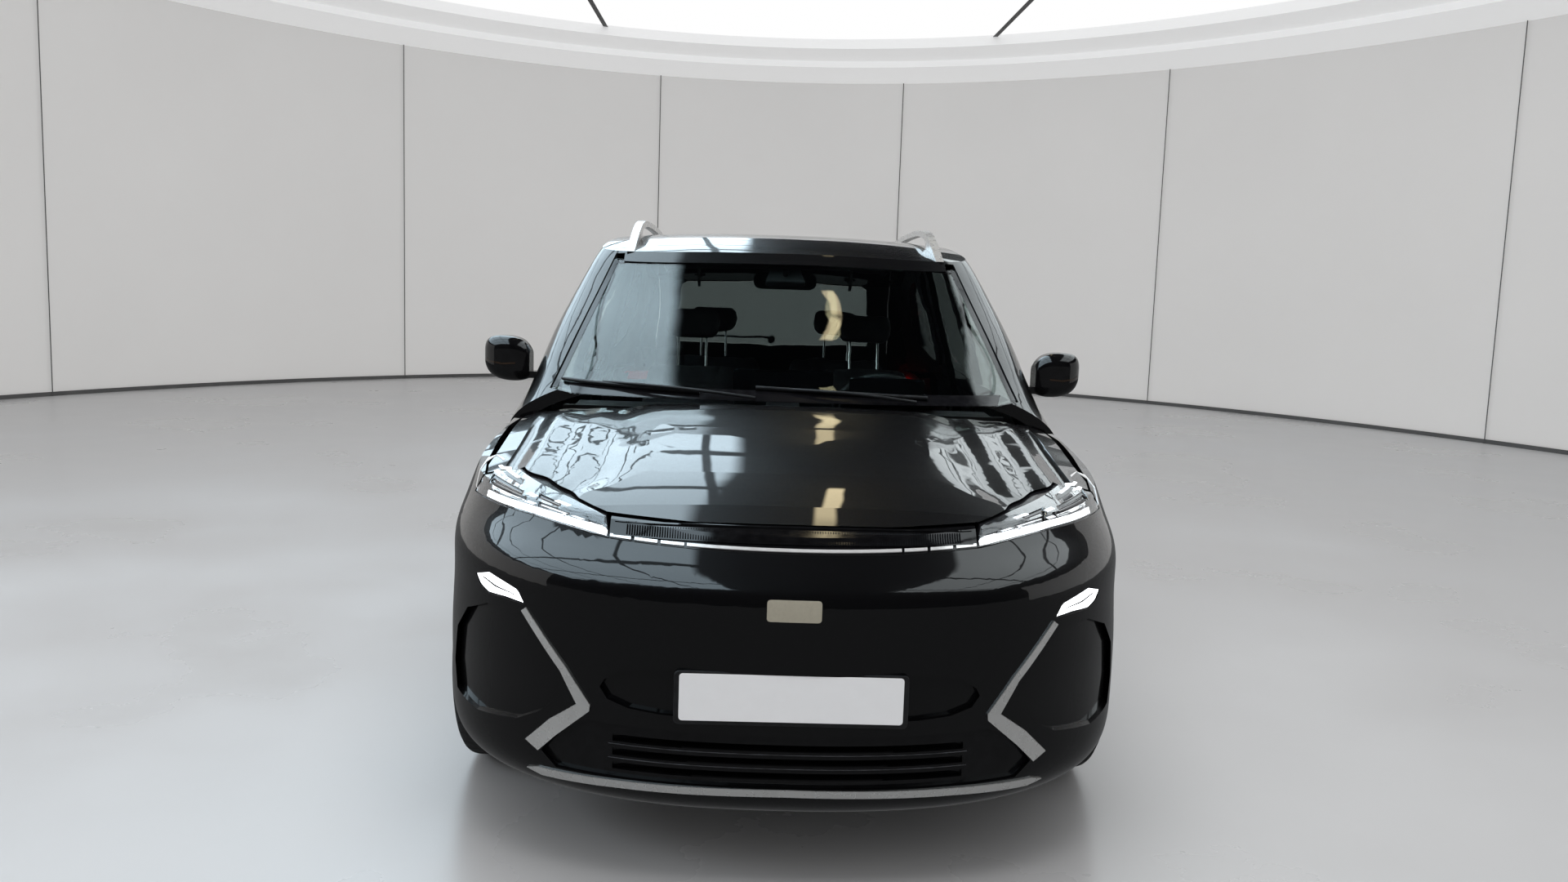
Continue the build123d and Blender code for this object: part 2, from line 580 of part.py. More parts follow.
band_zone = front_cut(mirrored([(0, 861), (240, 861), (446 - SEAM, 869), (446 - SEAM, 826), (237, 818),
                                (0, 816)]),
                      -2500, -2000)
band = built(belt_body(6, 6), (KEEP, band_zone), (CUT, lamp_back))
bars = built(BELT_STEP, (KEEP, front_cut(resized(mirrored(intake), -SEAM), -2500, -1900)),
             (CUT, lamp_back))
for z in (290, 325, 360):
    bars = built(bars, (CUT, built(block(-420, 420, -2400, -2260, z - 9, z + 9))))
grilles = built(band, (JOIN, bars))
save(grilles, "grilles")

rear_all = prism([(1600, 150), (2500, 150), (2500, 572 - SEAM), (1600, 572 - SEAM)], Plane.YZ, 1000,
                 both=True)
rear_bumper = built(BELT, (KEEP, rear_all), (CUT, BELT_SKIN), (CUT, arch_rear),
                    (CUT, mirror(arch_rear, about=Plane.YZ)),
                    (CUT, gate_room))
rear_bumper = built(rear_bumper, (CUT, block(-900, 900, 1500, 1680, 100, 700)))
diffuser = mirrored([(0, 392), (470, 392), (560, 350), (600, 250), (0, 250)])
rear_bumper = built(rear_bumper, (CUT, built(BELT, (KEEP, front_cut(diffuser, 2000, 2600)),
                                             (CUT, BELT_STEP))))
save(rear_bumper.solids().sort_by(lambda s: s.volume)[-1], "rear_bumper")

# ---------------------------------------------------------------- tailgate
gate_zone = built(front_cut(mirrored(GATE_SIDE), 1700, 2600),
                  (KEEP, built(bar(*GATE_AXIS, GATE_EDGE_R, -900, 900), (JOIN, behind_gate))))
spoiler_view = mirrored([(0, 1860), (598, 1860), (592, 1960), (560, 2040), (500, 2082), (400, 2096),
                         (0, 2104)])
spoiler_side = [(1850, 1560), (2110, 1560), (2110, 1470), (2060, 1452), (1960, 1440), (1850, 1440)]
spoiler = built(plan_cut(spoiler_view, 1400, 1700), (KEEP, prism(spoiler_side, Plane.YZ, 600, both=True)),
                (KEEP, under(roof_top, 0)), (CUT, under(roof_top, 30)))
gate_light = [(0, 1075), (560, 1085), (570, 1130), (530, 1420), (500, 1440), (0, 1455)]
gate = built(BELT, (KEEP, gate_zone), (CUT, belt_body(60, -60)))
gate_top = built(CABIN, (KEEP, gate_zone), (CUT, cabin_body(50)))
bar_view = mirrored([(0, 872), (TAIL_X - 8, 872), (TAIL_X - 8, 898), (0, 898)])
bar_groove = built(BELT, (KEEP, front_cut(bar_view, 2000, 2600)), (CUT, BELT_SKIN))
light_bar = built(BELT_LAMP, (KEEP, front_cut(resized(bar_view, -SEAM), 2000, 2600)), (CUT, BELT_SKIN))
save(light_bar, "light_bar")
number_recess = mirrored([(0, 790), (275, 790), (300, 760), (285, 655), (260, 640), (0, 640)])
gate = built(gate, (CUT, built(BELT, (KEEP, front_cut(number_recess, 2000, 2600)), (CUT, BELT_STEP))))
gate = built(gate, (JOIN, gate_top), (CUT, bar_groove), (CUT, front_cut(mirrored(gate_light), 1900, 2600)),
             (JOIN, spoiler))
for x in (-GATE_HINGE_X, GATE_HINGE_X):
    pocket = prism([(GATE_AXIS[0] + 21, 1380), (GATE_AXIS[0] + 21, GATE_AXIS[1] + 24),
                    (GATE_AXIS[0] - 25, GATE_AXIS[1] + 34),
                    (GATE_AXIS[0] - 65, GATE_AXIS[1] + 47), (GATE_AXIS[0] - 90, GATE_AXIS[1] + 47),
                    (GATE_AXIS[0] - 90, 1380)], Plane.YZ.offset(x - 14), 28)
    knuckle = [(GATE_AXIS[0] - 9, GATE_AXIS[1] - 9), (GATE_AXIS[0] + 30, GATE_AXIS[1] - 16),
               (GATE_AXIS[0] + 60, GATE_AXIS[1] - 10),
               (GATE_AXIS[0] + 60, GATE_AXIS[1] + 20), (GATE_AXIS[0] - 9, GATE_AXIS[1] + 12)]
    gate = built(gate, (JOIN, prism(knuckle, Plane.YZ.offset(x - 30), 60)), (CUT, pocket),
                 (JOIN, bar(*GATE_AXIS, PIN_R, x - 20, x + 20)))
save(gate.solids().sort_by(lambda s: s.volume)[-1], "tailgate")
gate_glass = built(CABIN_GLASS_OUT,
                   (KEEP, front_cut(resized(mirrored(gate_light), -SEAM), 1900, 2600)),
                   (CUT, CABIN_GLASS_IN), (CUT, spoiler))
save(gate_glass.solids().sort_by(lambda s: s.volume)[-1], "tailgate_glass")

# ---------------------------------------------------------------- wheels
def wheel_plane(x, y):
    return Plane(origin=(x, y, TYRE_R), x_dir=(1, 0, 0), z_dir=(0, -1, 0))


def make_tyre(x, y):
    half = TYRE_W / 2
    side = [(100, RIM_R + SEAM), (half, 308), (97, TYRE_R)]
    with BuildPart() as tyre:
        with BuildSketch(wheel_plane(x, y)):
            with BuildLine():
                Polyline(*side, *[(-u, v) for u, v in reversed(side)], close=True)
            make_face()
        revolve(axis=Axis((x, y, TYRE_R), (1, 0, 0)))
    return tyre.part


SPOKES = 5                  # pairs
DISC_R = 165
DISC_AT = -30               # inner face of the brake disc
HUB_R = 28


def make_rim(x, y):
    """Rim with its spokes, hub and brake disc; the outer side faces +X."""
    spin = Axis((x, y, TYRE_R), (1, 0, 0))
    with BuildPart() as rim:
        with BuildSketch(wheel_plane(x, y)):
            with BuildLine():
                Polyline((-102.6, RIM_R + 7), (-108, RIM_R + 7), (-108, RIM_R - 10), (-60, RIM_R - 18),
                         (70, RIM_R - 18), (100, RIM_R - 12), (108, RIM_R - 4), (108, RIM_R + 7),
                         (102.6, RIM_R + 7), (100.3, RIM_R), (-100.3, RIM_R), close=True)
            make_face()
        revolve(axis=spin)
        with BuildSketch(wheel_plane(x, y)):
            with BuildLine():
                Polyline((-20, HUB_R + PIN_FIT), (96, HUB_R + PIN_FIT), (96, 55), (88, 78), (60, 82),
                         (-20, 82), close=True)
            make_face()
        revolve(axis=spin)
        with BuildSketch(wheel_plane(x, y)):
            with BuildLine():
                Polyline((DISC_AT, HUB_R + PIN_FIT), (DISC_AT + 22, HUB_R + PIN_FIT),
                         (DISC_AT + 22, DISC_R),
                         (DISC_AT, DISC_R), close=True)
            make_face()
        revolve(axis=spin)
    with BuildPart() as spokes:
        with BuildSketch(Plane(origin=(x + 48, y, TYRE_R), x_dir=(0, 1, 0), z_dir=(1, 0, 0))):
            with PolarLocations(0, SPOKES, start_angle=90):
                Polygon((58, 2), (58, -22), (150, -34), (RIM_R - 14, -62), (RIM_R - 14, -36), (150, -12),
                        align=None)
                Polygon((58, -2), (58, 22), (150, 34), (RIM_R - 14, 62), (RIM_R - 14, 36), (150, 12),
                        align=None)
        extrude(amount=60)
        with BuildSketch(wheel_plane(x, y)):
            with BuildLine():
                Polyline((90, 56), (84, 110), (84, 150), (98, RIM_R - 12), (120, RIM_R - 12), (120, 56),
                         close=True)
            make_face()
        revolve(axis=spin, mode=Mode.SUBTRACT)
    return built(rim.part, (JOIN, spokes.part))


for end, y in (("front", FRONT_AXLE), ("rear", REAR_AXLE)):
    save_pair(make_tyre(WHEEL_X, y), f"tyre_{end}")
    save_pair(make_rim(WHEEL_X, y), f"rim_{end}")


def hub_carrier(x, y):
    """Stub axle, upright and brake caliper of the left side."""
    calliper = built(block(x - 60, x + 14, y + 100, y + 195, TYRE_R - 60, TYRE_R + 60),
                     (CUT, bar(y, TYRE_R, DISC_R + 6, x + DISC_AT - 6, x + DISC_AT + 28)))
    return built(bar(y, TYRE_R, HUB_R, x - 120, x + 60),
                 (JOIN, block(x - 115, x - 62, y - 60, y + 60, 225, 500)),
                 (JOIN, block(x - 95, x - 44, y + 40, y + 130, TYRE_R - 50, TYRE_R + 50)),
                 (JOIN, calliper))


knuckle = built(hub_carrier(WHEEL_X, FRONT_AXLE), (JOIN, post(STEER_X, FRONT_AXLE, 18, 225, 262)),
                (CUT, post(STEER_X, FRONT_AXLE, PIN_R + PIN_FIT, 224, 262.3)))
save_pair(knuckle, "knuckle")

# ---------------------------------------------------------------- running gear
def liner(y, radius, inboard):
    shell = built(bar(y, TYRE_R, radius + 4, inboard - 4, 925), (CUT, bar(y, TYRE_R, radius, inboard, 930)))
    return built(shell, (CUT, block(300, 1000, y - 600, y + 600, -200, 235)),
                 (KEEP, belt_body(SKIN + SEAM, 40)))


front_liner = liner(FRONT_AXLE, LINER_R, LINER_X)
front_liner = built(front_liner, (CUT, block(450, 700, FRONT_AXLE - 70, FRONT_AXLE + 70, 100, 660)))
rear_liner = liner(REAR_AXLE, REAR_LINER_R, REAR_LINER_X)
rear_liner = built(rear_liner, (CUT, block(600, 700, REAR_AXLE - 80, REAR_AXLE + 80, 200, 480)))
liners = built(front_liner, (JOIN, rear_liner), (JOIN, mirror(front_liner, about=Plane.YZ)),
               (JOIN, mirror(rear_liner, about=Plane.YZ)))
save(liners, "wheel_liners")

front_subframe = built(block(-420, 420, FRONT_AXLE - 60, FRONT_AXLE + 330, 205, 285),
                       (JOIN, block(-660, 660, FRONT_AXLE - 35, FRONT_AXLE + 35, 212, 240)))
for side_x in (-1, 1):
    leg = post(side_x * 615, FRONT_AXLE, 24, 235, 766)
    front_subframe = built(front_subframe, (JOIN, leg), (JOIN,
                                                         post(side_x * 615, FRONT_AXLE, 60, 728, 766)),
                           (JOIN, block(side_x * 700 - 46, side_x * 700 + 46, FRONT_AXLE - 9,
                                        FRONT_AXLE + 9, 206, 219.5)),
                           (JOIN, post(side_x * STEER_X, FRONT_AXLE, PIN_R, 206, 262)),
                           (JOIN, block(side_x * 420 - 25, side_x * 420 + 25, FRONT_AXLE + 150,
                                        FRONT_AXLE + 230, 205,
                                        450 - SEAM)))
save(front_subframe, "front_subframe")

rear_axle = built(hub_carrier(WHEEL_X, REAR_AXLE),
                  (JOIN, mirror(hub_carrier(WHEEL_X, REAR_AXLE), about=Plane.YZ)),
                  (JOIN, block(-745, 745, REAR_AXLE - 30, REAR_AXLE + 30, 300, 350)),
                  (JOIN, block(-470, 470, REAR_AXLE - 150, REAR_AXLE + 130, 290, 370)))
for side_x in (-1, 1):
    rear_axle = built(rear_axle, (JOIN, post(side_x * 520, REAR_AXLE, 55, 340, 420 - SEAM)))
save(rear_axle, "rear_axle")

# ---------------------------------------------------------------- inner structure
underbody = built(block(-720, 720, -1012, 860, 215, 240),
                  (JOIN, block(-600, 600, 835, 860, 215, 445)),
                  (JOIN, block(-600, 600, 835, 2200, 420, 445)),
                  (JOIN, block(-600, 600, 2175, 2200, 300, 560)))
save(underbody, "underbody")

front_structure = built(block(-740 + SEAM, 740 - SEAM, -1012, -992, SILL_Z - GAP + SEAM, 1020),
                        (JOIN, block(-720 + SEAM, 720 - SEAM, -1012, -992, 240 + SEAM, SILL_Z)),
                        (JOIN, block(-640, 640, -1250, -1000, 960, 972)),
                        (JOIN, block(395, 445, -2190, -1020, 450, 540)),
                        (JOIN, block(-445, -395, -2190, -1020, 450, 540)),
                        (JOIN, block(-520, 520, -2230, -2190, 440, 550)))
for side_x in (-1, 1):
    lug_x = side_x * (BONNET_HINGE_X + 18) - 7
    lug = built(block(lug_x, lug_x + 14, BONNET_AXIS[0], -1010, 972, 998),
                (JOIN, bar(*BONNET_AXIS, 13, lug_x, lug_x + 14)),
                (CUT, bar(*BONNET_AXIS, PIN_R + PIN_FIT, lug_x - 2, lug_x + 16)))
    front_structure = built(front_structure, (JOIN, lug))
save(front_structure, "front_structure")

engine = built(block(-330, 330, -1960, -1330, 330, 800), (JOIN,
    block(-395 + SEAM, 395 - SEAM, -1720, -1640, 460, 530)))
save(engine, "engine_block")
save(block(-560, 560, -520, 720, 178, 215 - SEAM), "battery_pack")

# ---------------------------------------------------------------- roof rails, trim, mirrors
BELT_OUT = belt_body(-4, 0)
elbow = [(655, 640), (642, 650), (536, 528), (474, 440), (476, 424), (560, 348), (608, 298), (642, 318),
         (580, 382), (508, 437), (550, 516)]
lip = [(0, 261), (400, 257), (609, 251), (640, 240), (600, 228), (400, 237), (0, 242)]
elbow_left = built(BELT_OUT, (KEEP, front_cut(elbow, -2500, -2000)), (CUT, BELT))
trim = built(BELT_OUT, (KEEP, front_cut(mirrored(lip), -2500, -2000)), (CUT, BELT), (JOIN, elbow_left),
             (JOIN, mirror(elbow_left, about=Plane.YZ)))
save(trim, "bumper_trim")
RAIL_X = (566, 596)
rail_top = [(-470, 1546), (-360, 1590), (-150, 1660), (80, 1683), (250, 1685), (500, 1682), (1000, 1658),
            (1400, 1611), (1640, 1560)]
rail_foot = [(1640, 1500), (1500, 1500), (1420, 1592), (1000, 1634), (500, 1659), (250, 1662), (80, 1660),
             (-130, 1636), (-240, 1560), (-470, 1500)]
with BuildPart() as rail:
    with BuildSketch(Plane.YZ.offset(RAIL_X[0])):
        with BuildLine():
            Spline(*rail_top)
            Line(rail_top[-1], rail_foot[0])
            Line(rail_foot[0], rail_foot[1])
            Line(rail_foot[1], rail_foot[2])
            Spline(*rail_foot[2:8])
            Line(rail_foot[7], rail_foot[8])
            Line(rail_foot[8], rail_foot[9])
            Line(rail_foot[9], rail_top[0])
        make_face()
    extrude(amount=RAIL_X[1] - RAIL_X[0])
    roof_side = [(y, roof_top(RAIL_X[0], y) + SEAM) for y in range(-600, 1801, 150)]
    with BuildSketch(Plane.YZ.offset(RAIL_X[0] - 10)):
        with BuildLine():
            Spline(*roof_side)
            Polyline(roof_side[-1], (1800, 1000), (-600, 1000), roof_side[0])
        make_face()
    extrude(amount=RAIL_X[1] - RAIL_X[0] + 20, mode=Mode.SUBTRACT)
rail_left = rail.part
rails = built(rail_left, (JOIN, mirror(rail_left, about=Plane.YZ)))
save(rails, "roof_rails")

with BuildPart() as mirror_body:
    for x, size_y, size_z, cz, r in ((898, 84, 96, 1134, 24), (925, 116, 140, 1145, 36),
                                     (985, 142, 156, 1152, 44),
                                     (1035, 118, 136, 1158, 44), (1060, 62, 84, 1164, 28)):
        with BuildSketch(Plane(origin=(x, -728 + (x - 900) * 0.12, cz), x_dir=(0, 1, 0), z_dir=(1, 0, 0))):
            RectangleRounded(size_y, size_z, r)
    loft()
    add(block(850, 950, -765, -700, 1084, 1108))
    add(CABIN, mode=Mode.SUBTRACT)
mirror_left = mirror_body.part.solids().sort_by(lambda s: s.volume)[-1]
save_pair(mirror_left, "mirror")

# ---------------------------------------------------------------- cabin fittings
WHEEL_AT = (370, -545, 950)
with BuildPart() as steering:
    tilt = Plane(origin=WHEEL_AT, x_dir=(1, 0, 0), z_dir=(0, 0.906, 0.423))
    with BuildSketch(Plane(origin=tilt.origin, x_dir=tilt.x_dir, z_dir=tilt.y_dir)):
        with Locations((180, 0)):
            Circle(15)
    revolve(axis=Axis(tilt.origin, tilt.z_dir))
    with BuildSketch(tilt):
        Circle(62)
        with PolarLocations(0, 3, start_angle=-90):
            with Locations((110, 0)):
                Rectangle(150, 34)
    extrude(amount=12, both=True)
    with BuildSketch(tilt):
        Circle(22)
    extrude(amount=-150)
save(steering.part, "steering_wheel")

dash = prism([(-992 + SEAM, 640), (-700, 640), (-640, 720), (-650, 900), (-700, 985), (-790, 1015),
              (-992 + SEAM, 1010)],
             Plane.YZ, 715, both=True)
dash = built(dash, (CUT, rod(tilt.origin, -tilt.z_dir, 22 + PIN_FIT, 170)))
save(dash, "dashboard")


def seat(x, width, y, base, name=None):
    cushion = prism([(y - 350, base), (y + 120, base), (y + 130, base + 170), (y - 100, base + 150),
                     (y - 340, base + 185), (y - 370, base + 120)], Plane.YZ.offset(x - width / 2), width)
    back = prism([(y + 40, base + 130), (y + 150, base + 60), (y + 215, base + 160), (y + 390, base + 690),
                  (y + 300, base + 720), (y + 190, base + 480)], Plane.YZ.offset(x - width / 2 + 5), width - 10)
    head = prism([(y + 318, base + 780), (y + 375, base + 770), (y + 400, base + 900),
                  (y + 350, base + 930),
                  (y + 310, base + 900)], Plane.YZ.offset(x - 130), 260)
    posts = prism([(y + 330, base + 700), (y + 345, base + 700), (y + 360, base + 790),
                   (y + 345, base + 790)],
                  Plane.YZ.offset(x - 60), 120)
    return built(cushion, (JOIN, back), (JOIN, posts), (JOIN, head))


seat_left = built(seat(380, 500, 0, 410), (JOIN, block(170, 590, -330, 120, 240, 411)))
front_seats = built(seat_left, (JOIN, mirror(seat_left, about=Plane.YZ)))
save(front_seats, "front_seats")
bench = built(seat(316, 604, 900, 400), (JOIN, seat(-316, 604, 900, 400)),
              (JOIN, block(-20, 20, 560, 1010, 410, 540)))
bench = built(bench, (CUT, block(-700, 700, 800, 1300, 200, 445 + SEAM)),
              (CUT, block(-700, 700, 500, 834.7, 200, 400)))
save(bench, "rear_bench")
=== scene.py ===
import bpy, bmesh
from math import copysign, cos, dist, pi, radians, sin
from mathutils import Matrix, Vector
from mathutils.bvhtree import BVHTree


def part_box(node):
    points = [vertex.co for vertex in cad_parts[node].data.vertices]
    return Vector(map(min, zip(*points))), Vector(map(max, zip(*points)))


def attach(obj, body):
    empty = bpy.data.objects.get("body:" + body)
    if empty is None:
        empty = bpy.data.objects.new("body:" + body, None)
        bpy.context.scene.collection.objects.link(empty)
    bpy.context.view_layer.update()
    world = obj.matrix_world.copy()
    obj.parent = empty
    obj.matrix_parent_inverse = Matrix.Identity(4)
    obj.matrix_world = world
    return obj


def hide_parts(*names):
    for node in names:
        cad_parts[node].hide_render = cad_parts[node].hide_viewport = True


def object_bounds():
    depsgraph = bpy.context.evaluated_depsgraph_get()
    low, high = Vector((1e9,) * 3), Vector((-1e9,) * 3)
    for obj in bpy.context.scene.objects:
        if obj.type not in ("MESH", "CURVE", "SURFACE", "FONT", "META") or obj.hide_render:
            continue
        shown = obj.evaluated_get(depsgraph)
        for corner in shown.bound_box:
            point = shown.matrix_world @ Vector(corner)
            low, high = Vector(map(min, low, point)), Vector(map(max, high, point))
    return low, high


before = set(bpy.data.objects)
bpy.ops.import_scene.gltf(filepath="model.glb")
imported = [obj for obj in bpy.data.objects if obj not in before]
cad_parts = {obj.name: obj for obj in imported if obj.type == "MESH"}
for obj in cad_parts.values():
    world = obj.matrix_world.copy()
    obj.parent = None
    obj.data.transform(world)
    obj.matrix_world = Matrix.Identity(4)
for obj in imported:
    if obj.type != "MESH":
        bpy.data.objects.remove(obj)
cad_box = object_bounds()
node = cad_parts
scene = bpy.context.scene
scene.view_settings.view_transform = "Standard"
FRONT_AXLE, REAR_AXLE, WHEEL_X, TYRE_R = -1.445, 1.310, 0.805, 0.359
AMBIENT = 0.75
X, Y, Z = (1, 0, 0), (0, 1, 0), (0, 0, 1)
REAR_GLASS_Y = 0.9       # the quarter lights lie behind this
# grey share of the painted floor reflection
FLOOR_IN_GLOSS = 0.45


# ---- camera
def add_camera():
    yaw, pitch, roll = 0.0283, 0.12005, 0.03349
    ahead = Vector((sin(yaw) * cos(pitch), cos(yaw) * cos(pitch), -sin(pitch)))
    right = Vector((cos(yaw), -sin(yaw), 0))
    up = right.cross(ahead)
    r = cos(roll) * right + sin(roll) * up
    u = -sin(roll) * right + cos(roll) * up
    data = bpy.data.cameras.new("camera")
    data.sensor_width, data.lens, data.shift_y = 36, 27.96, -0.0074
    data.clip_end = 200
    cam = bpy.data.objects.new("camera", data)
    scene.collection.objects.link(cam)
    m = Matrix((r, u, -ahead)).transposed().to_4x4()
    m.translation = (-0.115, -5.08, 1.449)
    cam.matrix_world = m
    scene.camera = cam


add_camera()


# ---- materials
class Mat:
    """A procedural material: a principled shader with noise on colour, roughness and relief."""

    def __init__(self, name, color, rough=0.5, metal=0.0, **sockets):
        self.m = bpy.data.materials.new(name)
        self.m.use_nodes = True
        self.t = self.m.node_tree
        self.b = self.t.nodes["Principled BSDF"]
        self.b.inputs["Base Color"].default_value = (*color, 1)
        self.b.inputs["Roughness"].default_value = rough
        self.b.inputs["Metallic"].default_value = metal
        for k, v in sockets.items():
            key = k.replace("_", " ")
            self.b.inputs[key].default_value = v
        self.color, self.rough = color, rough
        self.normal = None
        self.coords = self.t.nodes.new("ShaderNodeTexCoord").outputs["Object"]

    def node(self, kind, **props):
        n = self.t.nodes.new(kind)
        for k, v in props.items():
            if k in n.inputs:
                n.inputs[k].default_value = v
            else:
                setattr(n, k, v)
        return n

    def link(self, a, b):
        self.t.links.new(a, b)

    def noise(self, scale, detail=3, stretch=None):
        n = self.node("ShaderNodeTexNoise")
        n.inputs["Scale"].default_value, n.inputs["Detail"].default_value = scale, detail
        self.link(self.stretched(stretch), n.inputs["Vector"])
        return n.outputs["Fac"]

    def stretched(self, stretch):
        if stretch is None:
            return self.coords
        m = self.node("ShaderNodeMapping")
        m.inputs["Scale"].default_value = stretch
        self.link(self.coords, m.inputs["Vector"])
        return m.outputs["Vector"]

    def ranged(self, fac, low, high, a=0.35, b=0.65):
        n = self.node("ShaderNodeMapRange")
        for k, v in (("From Min", a), ("From Max", b), ("To Min", low), ("To Max", high)):
            n.inputs[k].default_value = v
        self.link(fac, n.inputs["Value"])
        return n.outputs["Result"]

    def ramp(self, fac, stops):
        n = self.node("ShaderNodeValToRGB")
        e = n.color_ramp.elements
        while len(e) < len(stops):
            e.new(0.5)
        for el, (p, c) in zip(e, stops):
            el.position, el.color = p, (*c, 1)
        self.link(fac, n.inputs["Fac"])
        return n.outputs["Color"]

    def vary(self, scale, amount, rough=0.0, detail=3, stretch=None):
        """Colour and roughness drift over the surface."""
        fac = self.noise(scale, detail, stretch)
        lo = [c * (1 - amount) for c in self.color]
        hi = [min(1, c * (1 + amount)) for c in self.color]
        self.link(self.ramp(fac, [(0.3, lo), (0.7, hi)]), self.b.inputs["Base Color"])
        if rough:
            self.link(self.ranged(fac, max(0, self.rough - rough), self.rough + rough),
                self.b.inputs["Roughness"])
        return self

    def bump(self, fac, strength, distance=0.001, socket="Normal"):
        n = self.node("ShaderNodeBump")
        n.inputs["Strength"].default_value, n.inputs["Distance"].default_value = strength, distance
        self.link(fac, n.inputs["Height"])
        if self.normal is not None and socket == "Normal":
            self.link(self.normal, n.inputs["Normal"])
        self.link(n.outputs["Normal"], self.b.inputs[socket])
        if socket == "Normal":
            self.normal = n.outputs["Normal"]
        return self

    def grain(self, scale, strength, distance=0.0005, detail=2, stretch=None):
        return self.bump(self.noise(scale, detail, stretch), strength, distance)

    def cells(self, scale, strength, distance=0.0005, stretch=None, feature="F1"):
        n = self.node("ShaderNodeTexVoronoi", feature=feature)
        n.inputs["Scale"].default_value = scale
        self.link(self.stretched(stretch), n.inputs["Vector"])
        return self.bump(n.outputs["Distance"], strength, distance)

    def weave(self, scale, strength, distance=0.0004):
        """Threads crossing at right angles."""
        sep = self.node("ShaderNodeSeparateXYZ")
        self.link(self.coords, sep.inputs[0])
        waves = []
        for axis in ("X", "Y", "Z"):
            m = self.node("ShaderNodeMath", operation="MULTIPLY")
            m.inputs[1].default_value = scale
            self.link(sep.outputs[axis], m.inputs[0])
            s = self.node("ShaderNodeMath", operation="SINE")
            self.link(m.outputs[0], s.inputs[0])
            waves.append(s.outputs[0])
        total = waves[0]
        for w in waves[1:]:
            a = self.node("ShaderNodeMath", operation="ADD")
            self.link(total, a.inputs[0])
            self.link(w, a.inputs[1])
            total = a.outputs[0]
        return self.bump(total, strength, distance)

    def glow(self, color, strength):
        self.b.inputs["Emission Color"].default_value = (*color, 1)
        self.b.inputs["Emission Strength"].default_value = strength
        return self


paint = Mat("paint_black", (0.003, 0.003, 0.0034), 0.3, 0.0, Coat_Weight=1.0, Coat_Roughness=0.012,
    Coat_IOR=1.5, Specular_IOR_Level=0.08)
paint.vary(900, 0.5, 0.04).bump(paint.noise(260, 1), 0.02, 0.00004, "Coat Normal")
gloss = Mat("trim_gloss_black", (0.004, 0.004, 0.0045), 0.08).vary(40, 0.3, 0.02)
plastic = Mat("plastic_grained", (0.012, 0.012, 0.013), 0.5).vary(60, 0.25, 0.06).cells(900, 0.35, 0.0003)
liner_felt = Mat("liner_felt", (0.01, 0.01, 0.011), 0.9).vary(80, 0.4).grain(1400, 0.6, 0.0006)
steel = Mat("cast_metal", (0.16, 0.16, 0.17), 0.5, 0.8).vary(30, 0.3, 0.12).grain(240, 0.4, 0.0006)
black_steel = Mat("painted_steel", (0.015, 0.015, 0.016), 0.45).vary(20, 0.4, 0.1).grain(400, 0.15)
satin = Mat("satin_silver", (0.68, 0.68, 0.67), 0.28, 0.6).vary(25, 0.03, 0.03).grain(1500, 0.01, 0.0001)
chrome = Mat("bright_metal", (0.8, 0.8, 0.8), 0.07, 1.0).vary(60, 0.03, 0.03)
rubber = Mat("tyre_rubber", (0.017, 0.017, 0.018), 0.72).vary(14, 0.3, 0.1).grain(700, 0.25, 0.0004)
seal = Mat("rubber_seal", (0.008, 0.008, 0.008), 0.6).vary(50, 0.3, 0.1)


def glass(name, color, rough=0.0):
    m = Mat(name, color, rough, 0.0, IOR=1.5, Transmission_Weight=1.0)
    m.grain(3, 0.02, 0.00005)
    return m


clear_glass = glass("glass_clear", (0.66, 0.74, 0.72))
dark_glass = glass("glass_privacy", (0.16, 0.18, 0.18))
lens = glass("lens_clear", (0.96, 0.97, 0.98))


def dress(material, *names):
    for n in names:
        o = node[n]
        o.data.materials.clear()
        o.data.materials.append(material.m)
        for p in o.data.polygons:
            p.material_index = 0


sides = ("_left", "_right")
PANELS = ["bonnet", "front_bumper", "rear_bumper", "tailgate", "roof_panel", "charge_flap", "fuel_flap"]
PANELS += [s + e for s in ("door_front", "door_rear", "fender", "quarter_panel", "side_frame", "mirror")
    for e in sides]
dress(paint, *PANELS)
dress(clear_glass, "fixed_glass", "door_glass_front_left", "door_glass_front_right")
dress(dark_glass, "door_glass_rear_left", "door_glass_rear_right", "tailgate_glass")
dress(gloss, "grilles")
dress(satin, "roof_rails", "bumper_trim")
dress(plastic, "dashboard")
dress(liner_felt, "wheel_liners")
dress(steel, "knuckle_left", "knuckle_right", "rear_axle")
dress(black_steel, "front_subframe", "underbody", "front_structure", "battery_pack", "engine_block")


# ---- meshes
def new_object(name, verts, faces, material=None, smooth=False):
    me = bpy.data.meshes.new(name)
    me.from_pydata([tuple(v) for v in verts], [], faces)
    me.validate()
    o = bpy.data.objects.new(name, me)
    scene.collection.objects.link(o)
    if material is not None:
        me.materials.append(material.m)
    if smooth:
        me.shade_smooth()
    return o


# ---- reading the panels' surfaces
def tree_of(*names):
    verts, faces = [], []
    for n in names:
        me = node[n].data
        k = len(verts)
        verts += [v.co.copy() for v in me.vertices]
        faces += [[k + i for i in p.vertices] for p in me.polygons]
    return BVHTree.FromPolygons(verts, faces)


class Caster:
    """Lays flat outlines on the panels: (u, v) is looked up along one direction."""

    def __init__(self, tree, place, direction):
        self.tree, self.place, self.direction = tree, place, Vector(direction)

    def __call__(self, u, v):
        hit = self.tree.ray_cast(self.place(u, v), self.direction)
        return hit[0]


